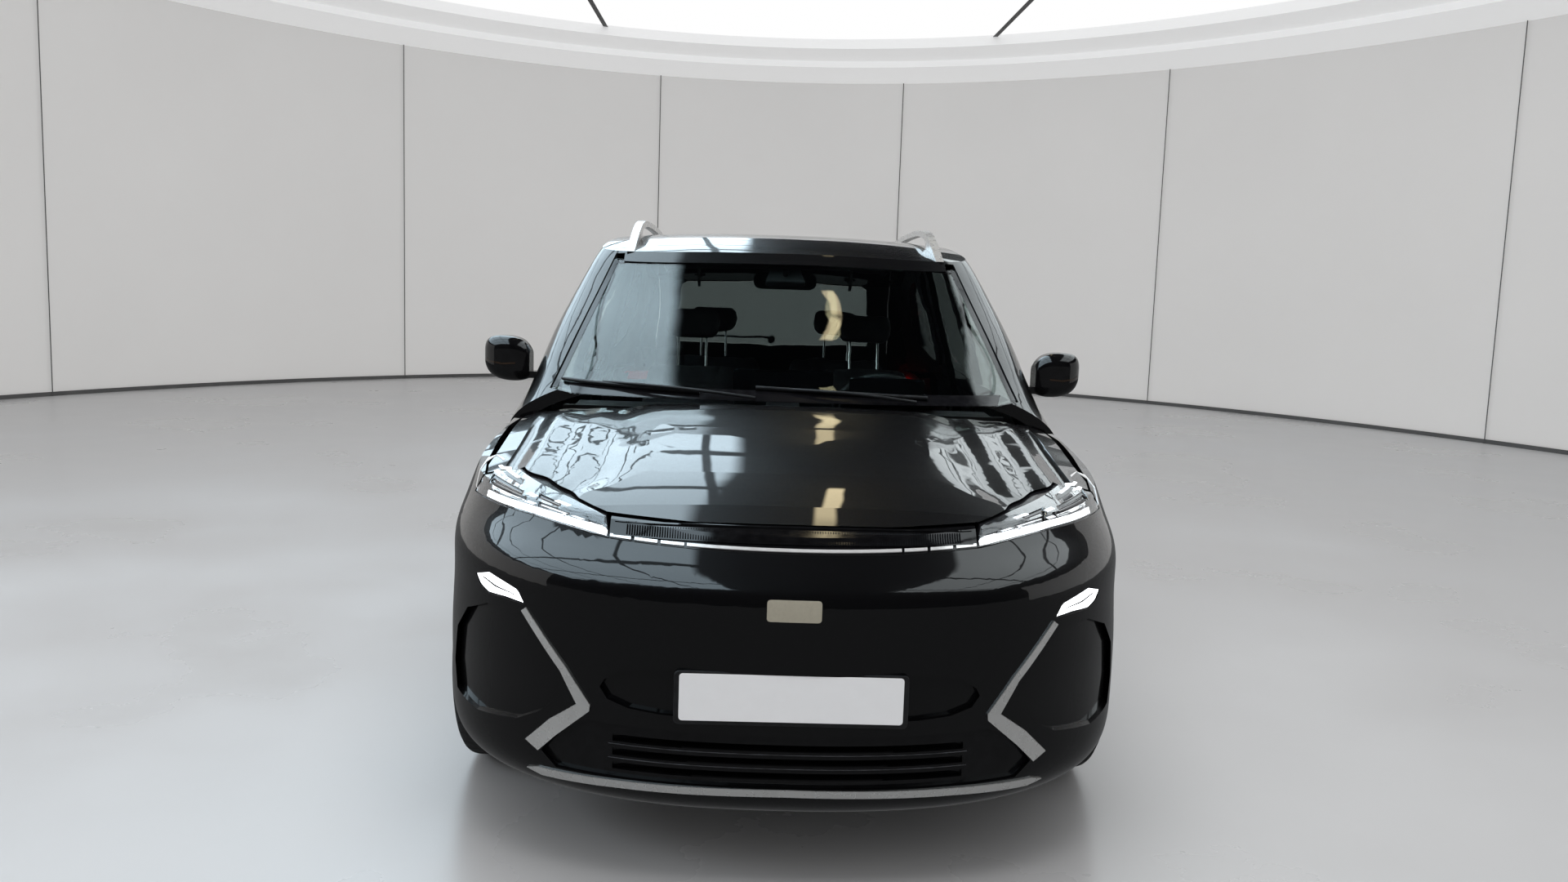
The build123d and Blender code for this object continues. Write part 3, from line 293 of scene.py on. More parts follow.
def along(line, t):
    """Point at share t of a polyline's length."""
    d = [0]
    for p, q in zip(line, line[1:]):
        d.append(d[-1] + dist(p, q))
    s = t * d[-1]
    for i in range(len(line) - 1):
        if s <= d[i + 1] or i == len(line) - 2:
            f = (s - d[i]) / max(1e-9, d[i + 1] - d[i])
            return tuple(a + (b - a) * f for a, b in zip(line[i], line[i + 1]))


def grid_points(cast, low, high, n, m):
    rows = []
    for j in range(m):
        s = j / (m - 1)
        row = []
        for i in range(n):
            t = i / (n - 1)
            a, b = along(low, t), along(high, t)
            uv = tuple(p + (q - p) * s for p, q in zip(a, b))
            row.append(cast(*uv))
        known = [k for k, p in enumerate(row) if p is not None]
        for k, p in enumerate(row):
            if p is None and known:
                row[k] = row[min(known, key=lambda q: abs(q - k))].copy()
        if known:
            rows.append(row)
    return rows


def grid_normals(rows, outward):
    m, n = len(rows), len(rows[0])
    normals = []
    for j in range(m):
        line = []
        for i in range(n):
            du = rows[j][min(n - 1, i + 1)] - rows[j][max(0, i - 1)]
            dv = rows[min(m - 1, j + 1)][i] - rows[max(0, j - 1)][i]
            q = du.cross(dv)
            q = q.normalized() if q.length > 1e-12 else Vector(outward)
            line.append(q if q.dot(Vector(outward)) > 0 else -q)
        normals.append(line)
    return normals


def patch(name, cast, low, high, n, m, material, body, lift=0.0, thick=0.002, outward=(0, -1, 0),
          smooth=True):
    """A sheet laid on the panels between two outlines, lifted off them, with a thickness inwards."""
    rows = grid_points(cast, low, high, n, m)
    m = len(rows)
    normals = grid_normals(rows, outward)
    front = [p + q * lift for r, s in zip(rows, normals) for p, q in zip(r, s)]
    back = [p + q * (lift - thick) for r, s in zip(rows, normals) for p, q in zip(r, s)]
    faces, k = [], n * m
    for j in range(m - 1):
        for i in range(n - 1):
            a, b, c, d = j * n + i, j * n + i + 1, (j + 1) * n + i + 1, (j + 1) * n + i
            faces += [(a, b, c, d), (k + d, k + c, k + b, k + a)]
    edge = [i for i in range(n)] + [j * n + n - 1 for j in range(1, m)] + \
        [(m - 1) * n + i for i in range(n - 2, -1, -1)] + [j * n for j in range(m - 2, 0, -1)]
    for a, b in zip(edge, edge[1:] + edge[:1]):
        faces.append((b, a, k + a, k + b))
    o = new_object(name, front + back, faces, material)
    tidy_normals(o)
    if smooth:
        smooth_by_angle(o)
    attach(o, body)
    return o


def tidy_normals(o):
    bm = bmesh.new()
    bm.from_mesh(o.data)
    bmesh.ops.recalc_face_normals(bm, faces=bm.faces)
    bm.to_mesh(o.data)
    bm.free()


def smooth_by_angle(o, angle=35):
    o.data.shade_smooth()
    o.data.set_sharp_from_angle(angle=radians(angle))


def bevel(o, width, segments=2, angle=30):
    b = o.modifiers.new("bevel", "BEVEL")
    b.width, b.segments, b.limit_method, b.angle_limit = width, segments, "ANGLE", radians(angle)
    return o


def mirror_copy(o, name, body):
    """The same piece on the other side of the car."""
    c = o.copy()
    c.data = o.data.copy()
    c.name = name
    c.parent = None
    for v in c.data.vertices:
        v.co.x = -v.co.x
    c.data.flip_normals()
    scene.collection.objects.link(c)
    for k in list(c.keys()):
        del c[k]
    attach(c, body)
    return c


def joined(name, objects, body=None):
    """One piece from several meshes; modifiers are applied first."""
    dg = bpy.context.evaluated_depsgraph_get()
    verts, faces, mats, smooth, sharp = [], [], [], [], []
    me = bpy.data.meshes.new(name)
    slots = []
    for o in objects:
        e = o.evaluated_get(dg).to_mesh()
        k = len(verts)
        index = []
        for mat in o.data.materials:
            if mat not in slots:
                slots.append(mat)
            index.append(slots.index(mat))
        verts += [tuple(o.matrix_world @ v.co) for v in e.vertices]
        for p in e.polygons:
            faces.append([k + i for i in p.vertices])
            mats.append(index[p.material_index] if index else 0)
            smooth.append(p.use_smooth)
        sharp += [(k + ed.vertices[0], k + ed.vertices[1]) for ed in e.edges if ed.use_edge_sharp]
    me.from_pydata(verts, [], faces)
    for s in slots:
        me.materials.append(s)
    me.polygons.foreach_set("material_index", mats)
    me.polygons.foreach_set("use_smooth", smooth)
    keys = {tuple(sorted(s)) for s in sharp}
    for ed in me.edges:
        if tuple(sorted(ed.vertices)) in keys:
            ed.use_edge_sharp = True
    whole = bpy.data.objects.new(name, me)
    scene.collection.objects.link(whole)
    for o in objects:
        bpy.data.objects.remove(o)
    if body:
        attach(whole, body)
    return whole


def lathe(name, profile, material, axis="X", segments=96, at=(0, 0, 0), closed=True):
    """A turned form: profile is (along the axis, radius)."""
    verts, faces = [], []
    k = len(profile)
    for i in range(segments):
        a = 2 * pi * i / segments
        c, s = cos(a), sin(a)
        for u, r in profile:
            p = {"X": (u, r * c, r * s), "Y": (r * c, u, r * s), "Z": (r * c, r * s, u)}[axis]
            verts.append(tuple(q + w for q, w in zip(p, at)))
    spans = k if closed else k - 1
    for i in range(segments):
        j = (i + 1) % segments
        for e in range(spans):
            f = (e + 1) % k
            faces.append((i * k + e, i * k + f, j * k + f, j * k + e))
    o = new_object(name, verts, faces, material)
    tidy_normals(o)
    smooth_by_angle(o, 40)
    return o


def tube(name, points, radius, material, body=None, segments=10, cyclic=False, flat=1.0):
    """A round bar along a smooth line."""
    cu = bpy.data.curves.new(name, "CURVE")
    cu.dimensions = "3D"
    cu.bevel_depth, cu.bevel_resolution = radius, max(1, segments // 4)
    cu.use_fill_caps = True
    sp = cu.splines.new("NURBS")
    sp.points.add(len(points) - 1)
    for p, q in zip(sp.points, points):
        p.co = (*q, 1)
    sp.order_u, sp.use_endpoint_u, sp.use_cyclic_u, sp.resolution_u = 3, not cyclic, cyclic, 6
    c = bpy.data.objects.new(name, cu)
    scene.collection.objects.link(c)
    dg = bpy.context.evaluated_depsgraph_get()
    me = bpy.data.meshes.new_from_object(c.evaluated_get(dg))
    bpy.data.objects.remove(c)
    o = bpy.data.objects.new(name, me)
    scene.collection.objects.link(o)
    me.materials.clear()
    me.materials.append(material.m)
    me.shade_smooth()
    if body:
        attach(o, body)
    return o


def slab(name, outline, depth, material, origin, u, v, rim=0.001, segments=2, body=None):
    """A flat plate with softened edges: outline in (u, v), standing on a plane."""
    u, v = Vector(u).normalized(), Vector(v).normalized()
    w = u.cross(v)
    o0 = Vector(origin)
    top = [o0 + u * a + v * b + w * depth / 2 for a, b in outline]
    low = [o0 + u * a + v * b - w * depth / 2 for a, b in outline]
    k = len(outline)
    faces = [list(range(k)), list(range(2 * k - 1, k - 1, -1))]
    faces += [((i + 1) % k, i, k + i, k + (i + 1) % k) for i in range(k)]
    o = new_object(name, top + low, faces, material)
    tidy_normals(o)
    bevel(o, rim, segments)
    if body:
        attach(o, body)
    return o


def round_rect(w, h, r, n=5):
    pts = []
    for cx, cy, a0 in ((w / 2 - r, h / 2 - r, 0), (-w / 2 + r, h / 2 - r, 90),
        (-w / 2 + r, -h / 2 + r, 180), (w / 2 - r, -h / 2 + r, 270)):
        for i in range(n):
            a = radians(a0 + 90 * i / (n - 1))
            pts.append((cx + r * cos(a), cy + r * sin(a)))
    return pts


# ---- the nose
BACK = Y
white_light = Mat("light_white", (0.9, 0.92, 0.95), 0.35).vary(200, 0.03).glow((0.95, 0.98, 1.0), 1.5)
lamp_bar_light = Mat("light_bar_white", (0.85, 0.87, 0.9), 0.3).vary(300, 0.05).glow((0.93, 0.97, 1.0),
    0.95)
lamp_dark = Mat("lamp_housing", (0.012, 0.012, 0.014), 0.14).vary(90, 0.4, 0.05)
# bright metal trim with a weak white emission: a painted glow on trim lines that are no lamps
bright_line = Mat("bright_line", (0.78, 0.78, 0.78), 0.18, 0.6).vary(60, 0.04, 0.04).glow((1, 1, 1), 0.12)
# satin plaque with a weak warm emission: a painted glow, the plaque is no lamp
plaque_painted_glow = Mat("plaque_satin_painted_glow", (0.54, 0.50, 0.40), 0.42, 0.55).vary(120, 0.05,
    0.05).glow((0.6, 0.55, 0.44), 0.08)
plate_white = Mat("plate_white", (0.86, 0.86, 0.87), 0.5).vary(30, 0.01, 0.03)
dress(lamp_dark, "headlamps")

nose_tree = tree_of("front_bumper", "headlamps", "grilles", "bonnet", "fender_left", "fender_right",
    "bumper_trim")
on_nose = Caster(nose_tree, lambda x, z: Vector((x, -3.2, z)), Y)
LAMP_TOP = [(0, .861), (.240, .861), (.459, .870), (.555, .891), (.659, .908), (.754, .924), (.880, .943)]
LAMP_LOW = [(0, .816), (.237, .818), (.452, .826), (.543, .838), (.659, .850), (.792, .856), (.880, .858)]
LIGHT_BARS = [(.470, .505, .36, .5), (.560, .640, .36, .5), (.585, .650, .58, .7), (.684, .800, .34, .45),
    (.694, .806, .51, .61), (.712, .812, .67, .77)]
THIN_BARS = [(.520, .548, .44, .50), (.562, .600, .74, .80), (.655, .678, .37, .47), (.657, .682, .62, .69),
    (.730, .806, .83, .88)]


def height(table, x):
    """Straight-line reading of an (x, z) table."""
    for (x0, z0), (x1, z1) in zip(table, table[1:]):
        if x <= x1:
            return z0 + (z1 - z0) * (x - x0) / (x1 - x0)
    return table[-1][1]


def in_lamp(x, share):
    low, high = height(LAMP_LOW, x), height(LAMP_TOP, x)
    return (x, low + (high - low) * share)


def lamp_strip(a, b, low, high, lean=0.010, n=9):
    """Lower and upper edge of a bar in the lamp; its ends lean outwards with the lamp."""
    xs = [a + (b - a) * i / (n - 1) for i in range(n)]
    return [in_lamp(x, low) for x in xs], [in_lamp(x - lean, high) for x in xs]


def strip(a, b, z, tall, n=20):
    """Lower and upper edge of a level strip from a to b."""
    low = [(a + (b - a) * i / n, z) for i in range(n + 1)]
    return low, [(x, z + tall) for x, z in low]


def flipped(line):
    return [(-x, z) for x, z in line]


def both_sides(name, low, high, n, m, material, body="body", caster=None, **options):
    caster = caster or on_nose
    one = patch(name + "_left", caster, low, high, n, m, material, body, **options)
    two = patch(name + "_right", caster, flipped(low), flipped(high), n, m, material, body, **options)
    return one, two


for k, (a, b, low, high) in enumerate(LIGHT_BARS):
    edges = lamp_strip(a + 0.004, b - 0.004, low + 0.02, high - 0.02)
    both_sides(f"lamp_bar_{k}", *edges, 13, 4, lamp_bar_light if k < 3 else white_light, lift=0.005,
        thick=0.004)
for k, (a, b, low, high) in enumerate(THIN_BARS):
    both_sides(f"lamp_bar_thin_{k}", *lamp_strip(a, b, low, high), 9, 3, lamp_bar_light, lift=0.002,
        thick=0.003)
running = [.452 + .352 * i / 23 for i in range(24)]
both_sides("running_light", [(x, height(LAMP_LOW, x) + 0.004) for x in running],
    [(x - 0.002, height(LAMP_LOW, x) + 0.019) for x in running], 40, 4, white_light, lift=0.0022,
    thick=0.004)
# bright edge round each lamp, drawn in trim metal with a painted glow
outer = [in_lamp(.856, s) for s in (0.12, 0.4, 0.7, 0.93)]
both_sides("lamp_outline", [(.842, outer[0][1] - 0.004), *[(x + 0.002, z) for x, z in outer],
    (.80, in_lamp(.80, .955)[1])], [(.842, outer[0][1]), *[(x - 0.0015, z) for x, z in outer],
    (.80, in_lamp(.80, .985)[1])], 24, 2, bright_line, lift=0.0015, thick=0.002)
glass_x = [.4465 + .41 * i / 30 for i in range(31)]
both_sides("lamp_lens", [(x, height(LAMP_LOW, x) + 0.001) for x in glass_x],
    [(x, height(LAMP_TOP, x) - 0.001) for x in glass_x], 60, 10, lens, lift=0.003, thick=0.0012,
    caster=Caster(tree_of("headlamps"), lambda x, z: Vector((x, -3.2, z)), Y))

low_lamp_low = [(.650, .659), (.70, .662), (.755, .658), (.780, .669), (.794, .688)]
low_lamp_high = [(.652, .664), (.669, .686), (.71, .697), (.755, .706), (.794, .691)]
mid_low = [tuple(p + (q - p) * 0.44 for p, q in zip(a, b)) for a, b in zip(low_lamp_low, low_lamp_high)]
mid_high = [tuple(p + (q - p) * 0.56 for p, q in zip(a, b)) for a, b in zip(low_lamp_low, low_lamp_high)]
fog_light = Mat("light_low", (0.9, 0.92, 0.95), 0.3).vary(500, 0.1).cells(160, 0.3, 0.001)
fog_light.glow((0.95, 0.98, 1.0), 3.0)
both_sides("low_lamp_lower", low_lamp_low, mid_low, 16, 4, fog_light, lift=0.001, thick=0.003)
both_sides("low_lamp_upper", mid_high, low_lamp_high, 16, 4, fog_light, lift=0.001, thick=0.003)

# fins of the centre band, and the lines above and below it
fin_verts, fin_faces = [], []
for i in range(131):
    x = -0.403 + 0.0062 * i
    base, top = on_nose(x, 0.836), on_nose(x, 0.8575)
    k = len(fin_verts)
    for p in (base, top):
        for dx, dy in ((-0.0011, 0.004), (0.0011, 0.004), (0.0011, -0.0038), (-0.0011, -0.0038)):
            fin_verts.append((p.x + dx, p.y + dy, p.z))
    fin_faces += [(k, k + 1, k + 2, k + 3), (k + 7, k + 6, k + 5, k + 4)]
    fin_faces += [(k + a, k + 4 + a, k + 4 + (a + 1) % 4, k + (a + 1) % 4) for a in range(4)]
fins = new_object("band_fins", fin_verts, fin_faces, gloss)
tidy_normals(fins)
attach(fins, "body")
for z, tall in ((0.8315, 0.0026), (0.8600, 0.0022)):
    patch(f"band_edge_{int(z * 1e4)}", on_nose, *strip(-0.435, 0.435, z, tall, 40), 81, 2, gloss, "body",
        lift=0.003, thick=0.005)


def band_line(name, a, b, z, tall, material, n):
    line = [(a + (b - a) * i / 12, z) for i in range(13)]
    rise = [(x, w + (abs(x) / 0.45) ** 2 * 0.010) for x, w in line]
    patch(name, on_nose, rise, [(x, w + tall) for x, w in rise], n, 3, material, "body", lift=0.0028,
        thick=0.004)


# bright lines under the fin band: metal trim with a painted glow
band_line("painted_glow_line_centre", -0.255, 0.255, 0.8185, 0.0055, bright_line, 41)
for k, (a, b) in enumerate(((0.262, 0.318), (0.326, 0.382), (0.391, 0.443))):
    band_line(f"painted_glow_line_left_{k}", a, b, 0.8185, 0.0055, bright_line, 9)
    band_line(f"painted_glow_line_right_{k}", -b, -a, 0.8185, 0.0055, bright_line, 9)

# plaque, plate and its carrier
plaque_low = [(-.063, .6835), (-.0615, .6795), (-.057, .6775), (.057, .6775), (.0615, .6795), (.063, .6835)]
plaque_high = [(x, 1.4055 - z) for x, z in plaque_low]
plaque_frame = patch("plaque_frame", on_nose, [(x * 1.05, z - 0.0024) for x, z in plaque_low],
    [(x * 1.05, z + 0.0024) for x, z in plaque_high], 24, 6, gloss, "body", lift=0.0001, thick=0.002)
# the plaque carries the painted glow of its material
plaque = patch("plaque", on_nose, plaque_low, plaque_high, 24, 8, plaque_painted_glow, "body", lift=0.0003,
    thick=0.003)
plate_y, plate_z = cad_box[0][1] + 0.0048, 0.494
carrier = slab("plate_carrier", round_rect(0.545, 0.128, 0.012), 0.008, plastic,
    (0, plate_y + 0.0072, plate_z - 0.003), X, Z, 0.002)
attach(carrier, "body")
stand = slab("plate_bracket", round_rect(0.46, 0.075, 0.01), 0.02, plastic,
    (0, plate_y + 0.02, plate_z - 0.006), X, Z, 0.002)
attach(stand, "body")
plate = slab("number_plate", round_rect(0.520, 0.112, 0.008), 0.0025, plate_white,
    (0, plate_y + 0.001, plate_z), X, Z, 0.0008)
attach(plate, "body")

# painted highlights: steel strips along the top edges of the lower intake's bars stand in for their faint
# highlights
for k, z in enumerate((0.309, 0.344)):
    patch(f"intake_painted_highlight_{k}", on_nose, *strip(-0.43, 0.43, z, 0.0016), 41, 2, steel, "body", lift=0.0018,
        thick=0.003)


# ---- windscreen, wipers, scuttle
glass_tree = tree_of("fixed_glass")
on_screen = Caster(glass_tree, lambda x, z: Vector((x, -3.2, z)), Y)
frit = Mat("screen_border", (0.005, 0.005, 0.006), 0.12).vary(60, 0.3, 0.03).cells(700, 0.05, 0.0001)


def screen_band(name, low, high, n, m, lift=0.0008):
    o = patch(name, on_screen, low, high, n, m, frit, "body", lift=lift, thick=0.0006)
    return o


screen_band("screen_border_low", [(-.70 + 1.40 * i / 30, 1.0675) for i in range(31)],
    [(-.72 + 1.44 * i / 30, 1.098) for i in range(31)], 61, 3)
screen_band("screen_border_top", [(-.625 + 1.25 * i / 30, 1.500 + .016 * (1 - abs(i / 15 - 1) ** 2))
    for i in range(31)], [(-.632 + 1.264 * i / 30, 1.532 + .018 * (1 - abs(i / 15 - 1) ** 2))
    for i in range(31)], 61, 3)
for s, side in ((1, "left"), (-1, "right")):
    edge = [(s * (.778 - (z - 1.08) * .318), z) for z in [1.08 + .45 * i / 12 for i in range(13)]]
    screen_band(f"screen_border_{side}", edge, [(x - s * .022, z) for x, z in edge], 25, 3)

wiper_rubber = Mat("wiper_black", (0.008, 0.008, 0.009), 0.42).vary(60, 0.3, 0.08)
for k, (root, tip, blade) in enumerate((((-.10, 1.0720), (-.60, 1.1010), ((-.78, 1.1040), (-.28, 1.0850))),
    ((.42, 1.0720), (.02, 1.0980), ((-.10, 1.1020), (.46, 1.0850))))):
    def off(x, z, lift):
        p = on_screen(max(-.74, min(.74, x)), z)
        return p + Vector((0, -0.83, 0.55)) * lift
    steps = 10
    arm = tube(f"wiper_arm_{k}", [tuple(off(root[0] + (tip[0] - root[0]) * t / steps,
        root[1] + (tip[1] - root[1]) * t / steps, 0.012 + 0.014 * sin(pi * t / steps)))
        for t in range(steps + 1)], 0.0055, wiper_rubber, "body", 12)
    lineb = [tuple(off(blade[0][0] + (blade[1][0] - blade[0][0]) * t / 14,
        blade[0][1] + (blade[1][1] - blade[0][1]) * t / 14, 0.010)) for t in range(15)]
    tube(f"wiper_blade_{k}", lineb, 0.0065, wiper_rubber, "body", 12)
    tube(f"wiper_lip_{k}", [tuple(Vector(p) - Vector((0, -0.83, 0.55)) * 0.0065) for p in lineb], 0.0022,
        seal, "body", 8)


# ---- wheels
def turned_ring(x_profile, at, segments, depth_at=None):
    """Vertices of a tyre: each (across, radius) point goes round the axle, lowered where depth_at says."""
    verts, faces, k = [], [], len(x_profile)
    for i in range(segments):
        a = 2 * pi * i / segments
        for j, (u, r) in enumerate(x_profile):
            r -= depth_at(u, r, i) if depth_at else 0
            verts.append((at[0] + u, at[1] + r * cos(a), at[2] + r * sin(a)))
    for i in range(segments):
        n = (i + 1) % segments
        for j in range(k):
            m = (j + 1) % k
            faces.append((i * k + j, i * k + m, n * k + m, n * k + j))
    return verts, faces


GROOVES = (-0.052, -0.018, 0.018, 0.052)    # middle of each groove round the tyre
GROOVE, TREAD_DEPTH = 0.0048, 0.0075


def tyre_profile(side):
    """Section of a tyre, from bead to bead; side (+1 where +X faces outwards) is not used."""
    wall = [(0.099, 0.2445), (0.1065, 0.250), (0.111, 0.258), (0.1145, 0.272), (0.1170, 0.292),
        (0.1173, 0.306), (0.1166, 0.322), (0.1140, 0.336), (0.1085, 0.3455), (0.1010, 0.3515),
        (0.0930, 0.3550)]
    tread = [(0.0850, 0.3568), (0.070, 0.3578)]
    for g in reversed(GROOVES):
        r = 0.359 - 0.0014 * (g / 0.06) ** 2
        tread += [(g + GROOVE, r), (g + GROOVE * 0.7, r - TREAD_DEPTH), (g - GROOVE * 0.7, r - TREAD_DEPTH),
            (g - GROOVE, r)]
        if g > GROOVES[0]:
            tread.append((g - 0.017, 0.359 - 0.0014 * ((g - 0.017) / 0.06) ** 2))
    tread += [(-0.070, 0.3578), (-0.0850, 0.3568)]
    inner = [(-0.092, 0.251), (0.092, 0.251)]
    return wall + tread + [(-u, r) for u, r in reversed(wall)] + inner


def cuts(u, r, i):
    """Cross grooves of the tread blocks, every fourth step round the tyre."""
    if r < 0.350 or abs(u) > 0.108:
        return 0
    shift = 2 if u > 0 else 0
    if abs(u) > 0.056:
        return TREAD_DEPTH * 0.85 if (i + shift) % 5 == 0 else 0
    if 0.022 < abs(u) < 0.049:
        return TREAD_DEPTH * 0.5 if (i + 1 + shift) % 5 == 0 else 0
    return 0


rubber_ribs = Mat("tyre_side_rubber", (0.016, 0.016, 0.017), 0.62).vary(20, 0.25, 0.08).grain(500, 0.2,
    0.0003)
for end, axle in (("front", FRONT_AXLE), ("rear", REAR_AXLE)):
    for s, side in ((1, "left"), (-1, "right")):
        v, f = turned_ring(tyre_profile(s), (s * WHEEL_X, axle, TYRE_R), 240, cuts)
        tyre = new_object(f"tread_{end}_{side}", v, f, rubber)
        tidy_normals(tyre)
        smooth_by_angle(tyre, 32)
        ribs = []
        for r in (0.268, 0.2725, 0.330, 0.334):
            ribs.append(lathe("rib", [(0.1128 + (0.0035 if 0.27 < r < 0.34 else 0), r - 0.0009),
                (0.1176, r - 0.0005), (0.1176, r + 0.0005), (0.1128 + (0.0035 if 0.27 < r < 0.34 else 0),
                r + 0.0009)] if r < 0.3 else [(0.110, r - 0.0009), (0.1160, r - 0.0005),
                (0.1156, r + 0.0005), (0.110, r + 0.0009)], rubber_ribs, segments=120))
        for rib in ribs:
            for vert in rib.data.vertices:
                vert.co = (s * (WHEEL_X + vert.co.x), axle + vert.co.y, TYRE_R + vert.co.z)
            tidy_normals(rib)
        whole = joined(f"tyre_tread_{end}_{side}", [tyre] + ribs, f"wheel_{end}_{side}")
        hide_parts(f"tyre_{end}_{side}")

rim_black = Mat("rim_gloss_black", (0.006, 0.006, 0.007), 0.16).vary(60, 0.4, 0.05)


def two_tone(name, side):
    """Machined bright faces where the rim looks outwards, black in the pockets."""
    m = Mat(name, (0.66, 0.66, 0.67), 0.2, 0.85)
    sep = m.node("ShaderNodeSeparateXYZ")
    tc = m.node("ShaderNodeTexCoord")
    m.link(tc.outputs["Normal"], sep.inputs[0])
    out = m.node("ShaderNodeMath", operation="MULTIPLY")
    out.inputs[1].default_value = side
    m.link(sep.outputs["X"], out.inputs[0])
    fac = m.ranged(out.outputs[0], 0, 1, 0.80, 0.86)
    m.link(m.ramp(fac, [(0.0, (0.006, 0.006, 0.007)), (1.0, (0.66, 0.66, 0.67))]), m.b.inputs["Base Color"])
    m.link(m.ranged(fac, 0.18, 0.26, 0, 1), m.b.inputs["Roughness"])
    m.link(m.ranged(fac, 0.0, 0.85, 0, 1), m.b.inputs["Metallic"])
    m.bump(m.noise(900, 1, (0.05, 1, 1)), 0.04, 0.0001)
    return m


bolt_steel = Mat("wheel_bolt", (0.25, 0.25, 0.26), 0.35, 0.9).vary(200, 0.2, 0.1)
for s, side in ((1, "left"), (-1, "right")):
    faced = two_tone(f"rim_two_tone_{side}", s)
    for end, axle in (("front", FRONT_AXLE), ("rear", REAR_AXLE)):
        dress(faced, f"rim_{end}_{side}")
        outer_face = WHEEL_X + 0.088
        parts = [lathe("cap", [(outer_face - 0.004, 0.0), (outer_face - 0.004, 0.034),
            (outer_face + 0.006, 0.034), (outer_face + 0.010, 0.030), (outer_face + 0.0105, 0.014),
            (outer_face + 0.0095, 0.0)], rim_black, segments=48, closed=False)]
        for k in range(5):
            a = radians(90 + 36 + 72 * k)
            c = (0.057 * cos(a), 0.057 * sin(a))
            bolt = lathe("bolt", [(outer_face - 0.012, 0), (outer_face - 0.012, 0.0115),
                (outer_face + 0.002, 0.0115), (outer_face + 0.004, 0.0095), (outer_face + 0.004, 0.006),
                (outer_face - 0.002, 0.005), (outer_face - 0.002, 0)], bolt_steel, segments=6, closed=False)
            for v in bolt.data.vertices:
                v.co.y += c[0]
                v.co.z += c[1]
            parts.append(bolt)
        valve = lathe("valve", [(WHEEL_X + 0.052, 0), (WHEEL_X + 0.052, 0.0045), (WHEEL_X + 0.086, 0.0038),
            (WHEEL_X + 0.088, 0)], seal, segments=12, closed=False)
        for v in valve.data.vertices:
            v.co.z += 0.214
        parts.append(valve)
        for p in parts:
            for v in p.data.vertices:
                v.co = (s * v.co.x, axle + v.co.y, TYRE_R + v.co.z)
            tidy_normals(p)
        joined(f"hub_{end}_{side}", parts, f"wheel_{end}_{side}")

# ---- sides: handles, trims, mirrors
side_tree = tree_of(*[n + e for n in ("door_front", "door_rear", "fender", "quarter_panel", "side_frame")
    for e in sides])
on_left = Caster(side_tree, lambda y, z: Vector((1.6, y, z)), (-1, 0, 0))
LEFT = X


def side_pair(name, low, high, n, m, material, bodies, **options):
    """A patch on the left side of the car, and its copy on the right."""
    one = patch(name + "_left", on_left, low, high, n, m, material, bodies[0], outward=LEFT, **options)
    two = mirror_copy(one, name + "_right", bodies[1])
    return one, two


def door_bodies(stem):
    return [stem + "_left", stem + "_right"]


handle_dark = Mat("handle_pocket", (0.004, 0.004, 0.004), 0.35).vary(50, 0.3)
for stem, y in (("door_front", 0.010), ("door_rear", 0.900)):
    low = [(y - 0.118, .935), (y - 0.112, .926), (y + 0.098, .930), (y + 0.106, .940)]
    high = [(y - 0.118, .944), (y - 0.112, .952), (y + 0.098, .956), (y + 0.106, .947)]
    side_pair(f"handle_pocket_{stem}", [(a + (a - y) * 0.05, b - 0.004) for a, b in low],
        [(a + (a - y) * 0.05, b + 0.004) for a, b in high], 20, 6, handle_dark, door_bodies(stem),
        lift=0.0006, thick=0.001)
    side_pair(f"handle_{stem}", low, high, 24, 8, paint, door_bodies(stem), lift=0.007, thick=0.007)

belt_seal = Mat("belt_trim", (0.006, 0.006, 0.006), 0.22).vary(60, 0.3, 0.05)
for stem, a, b, z0, z1 in (("door_front", -0.672, 0.090, 1.036, 1.040),
    ("door_rear", 0.185, 0.995, 1.042, 1.056)):
    line = [(a + (b - a) * i / 20, z0 + (z1 - z0) * i / 20) for i in range(21)]
    side_pair(f"belt_trim_{stem}", line, [(y, z + 0.011) for y, z in line], 41, 3, belt_seal,
        door_bodies(stem), lift=0.002, thick=0.003)

sill_trim = Mat("sill_plastic", (0.011, 0.011, 0.012), 0.42).vary(50, 0.2, 0.05).cells(900, 0.25, 0.0002)
side_pair("sill_trim", *strip(-0.92, 0.80, 0.238, 0.058, 30), 61, 5, sill_trim, ["body", "body"],
    lift=0.0035, thick=0.004)
for stem, a, b in (("door_front", -0.79, 0.085), ("door_rear", 0.235, 0.835)):
    side_pair(f"door_strip_{stem}", *strip(a, b, 0.345, 0.010), 41, 3, satin, door_bodies(stem),
        lift=0.0025, thick=0.003)


def arch_trim(name, axle, front_limit, rear_limit, bodies):
    """Narrow lip round a wheel opening."""
    inner, outer_line = [], []
    for i in range(61):
        a = radians(front_limit + (rear_limit - front_limit) * i / 60)
        inner.append((axle - 0.3975 * cos(a), TYRE_R + 0.3975 * sin(a)))
        outer_line.append((axle - 0.4115 * cos(a), TYRE_R + 0.4115 * sin(a)))
    side_pair(name, inner, outer_line, 120, 3, sill_trim, bodies, lift=0.0016, thick=0.003)


arch_trim("arch_trim_front", FRONT_AXLE, 62, 172, ["body", "body"])
arch_trim("arch_trim_rear", REAR_AXLE, 8, 170, ["body", "body"])

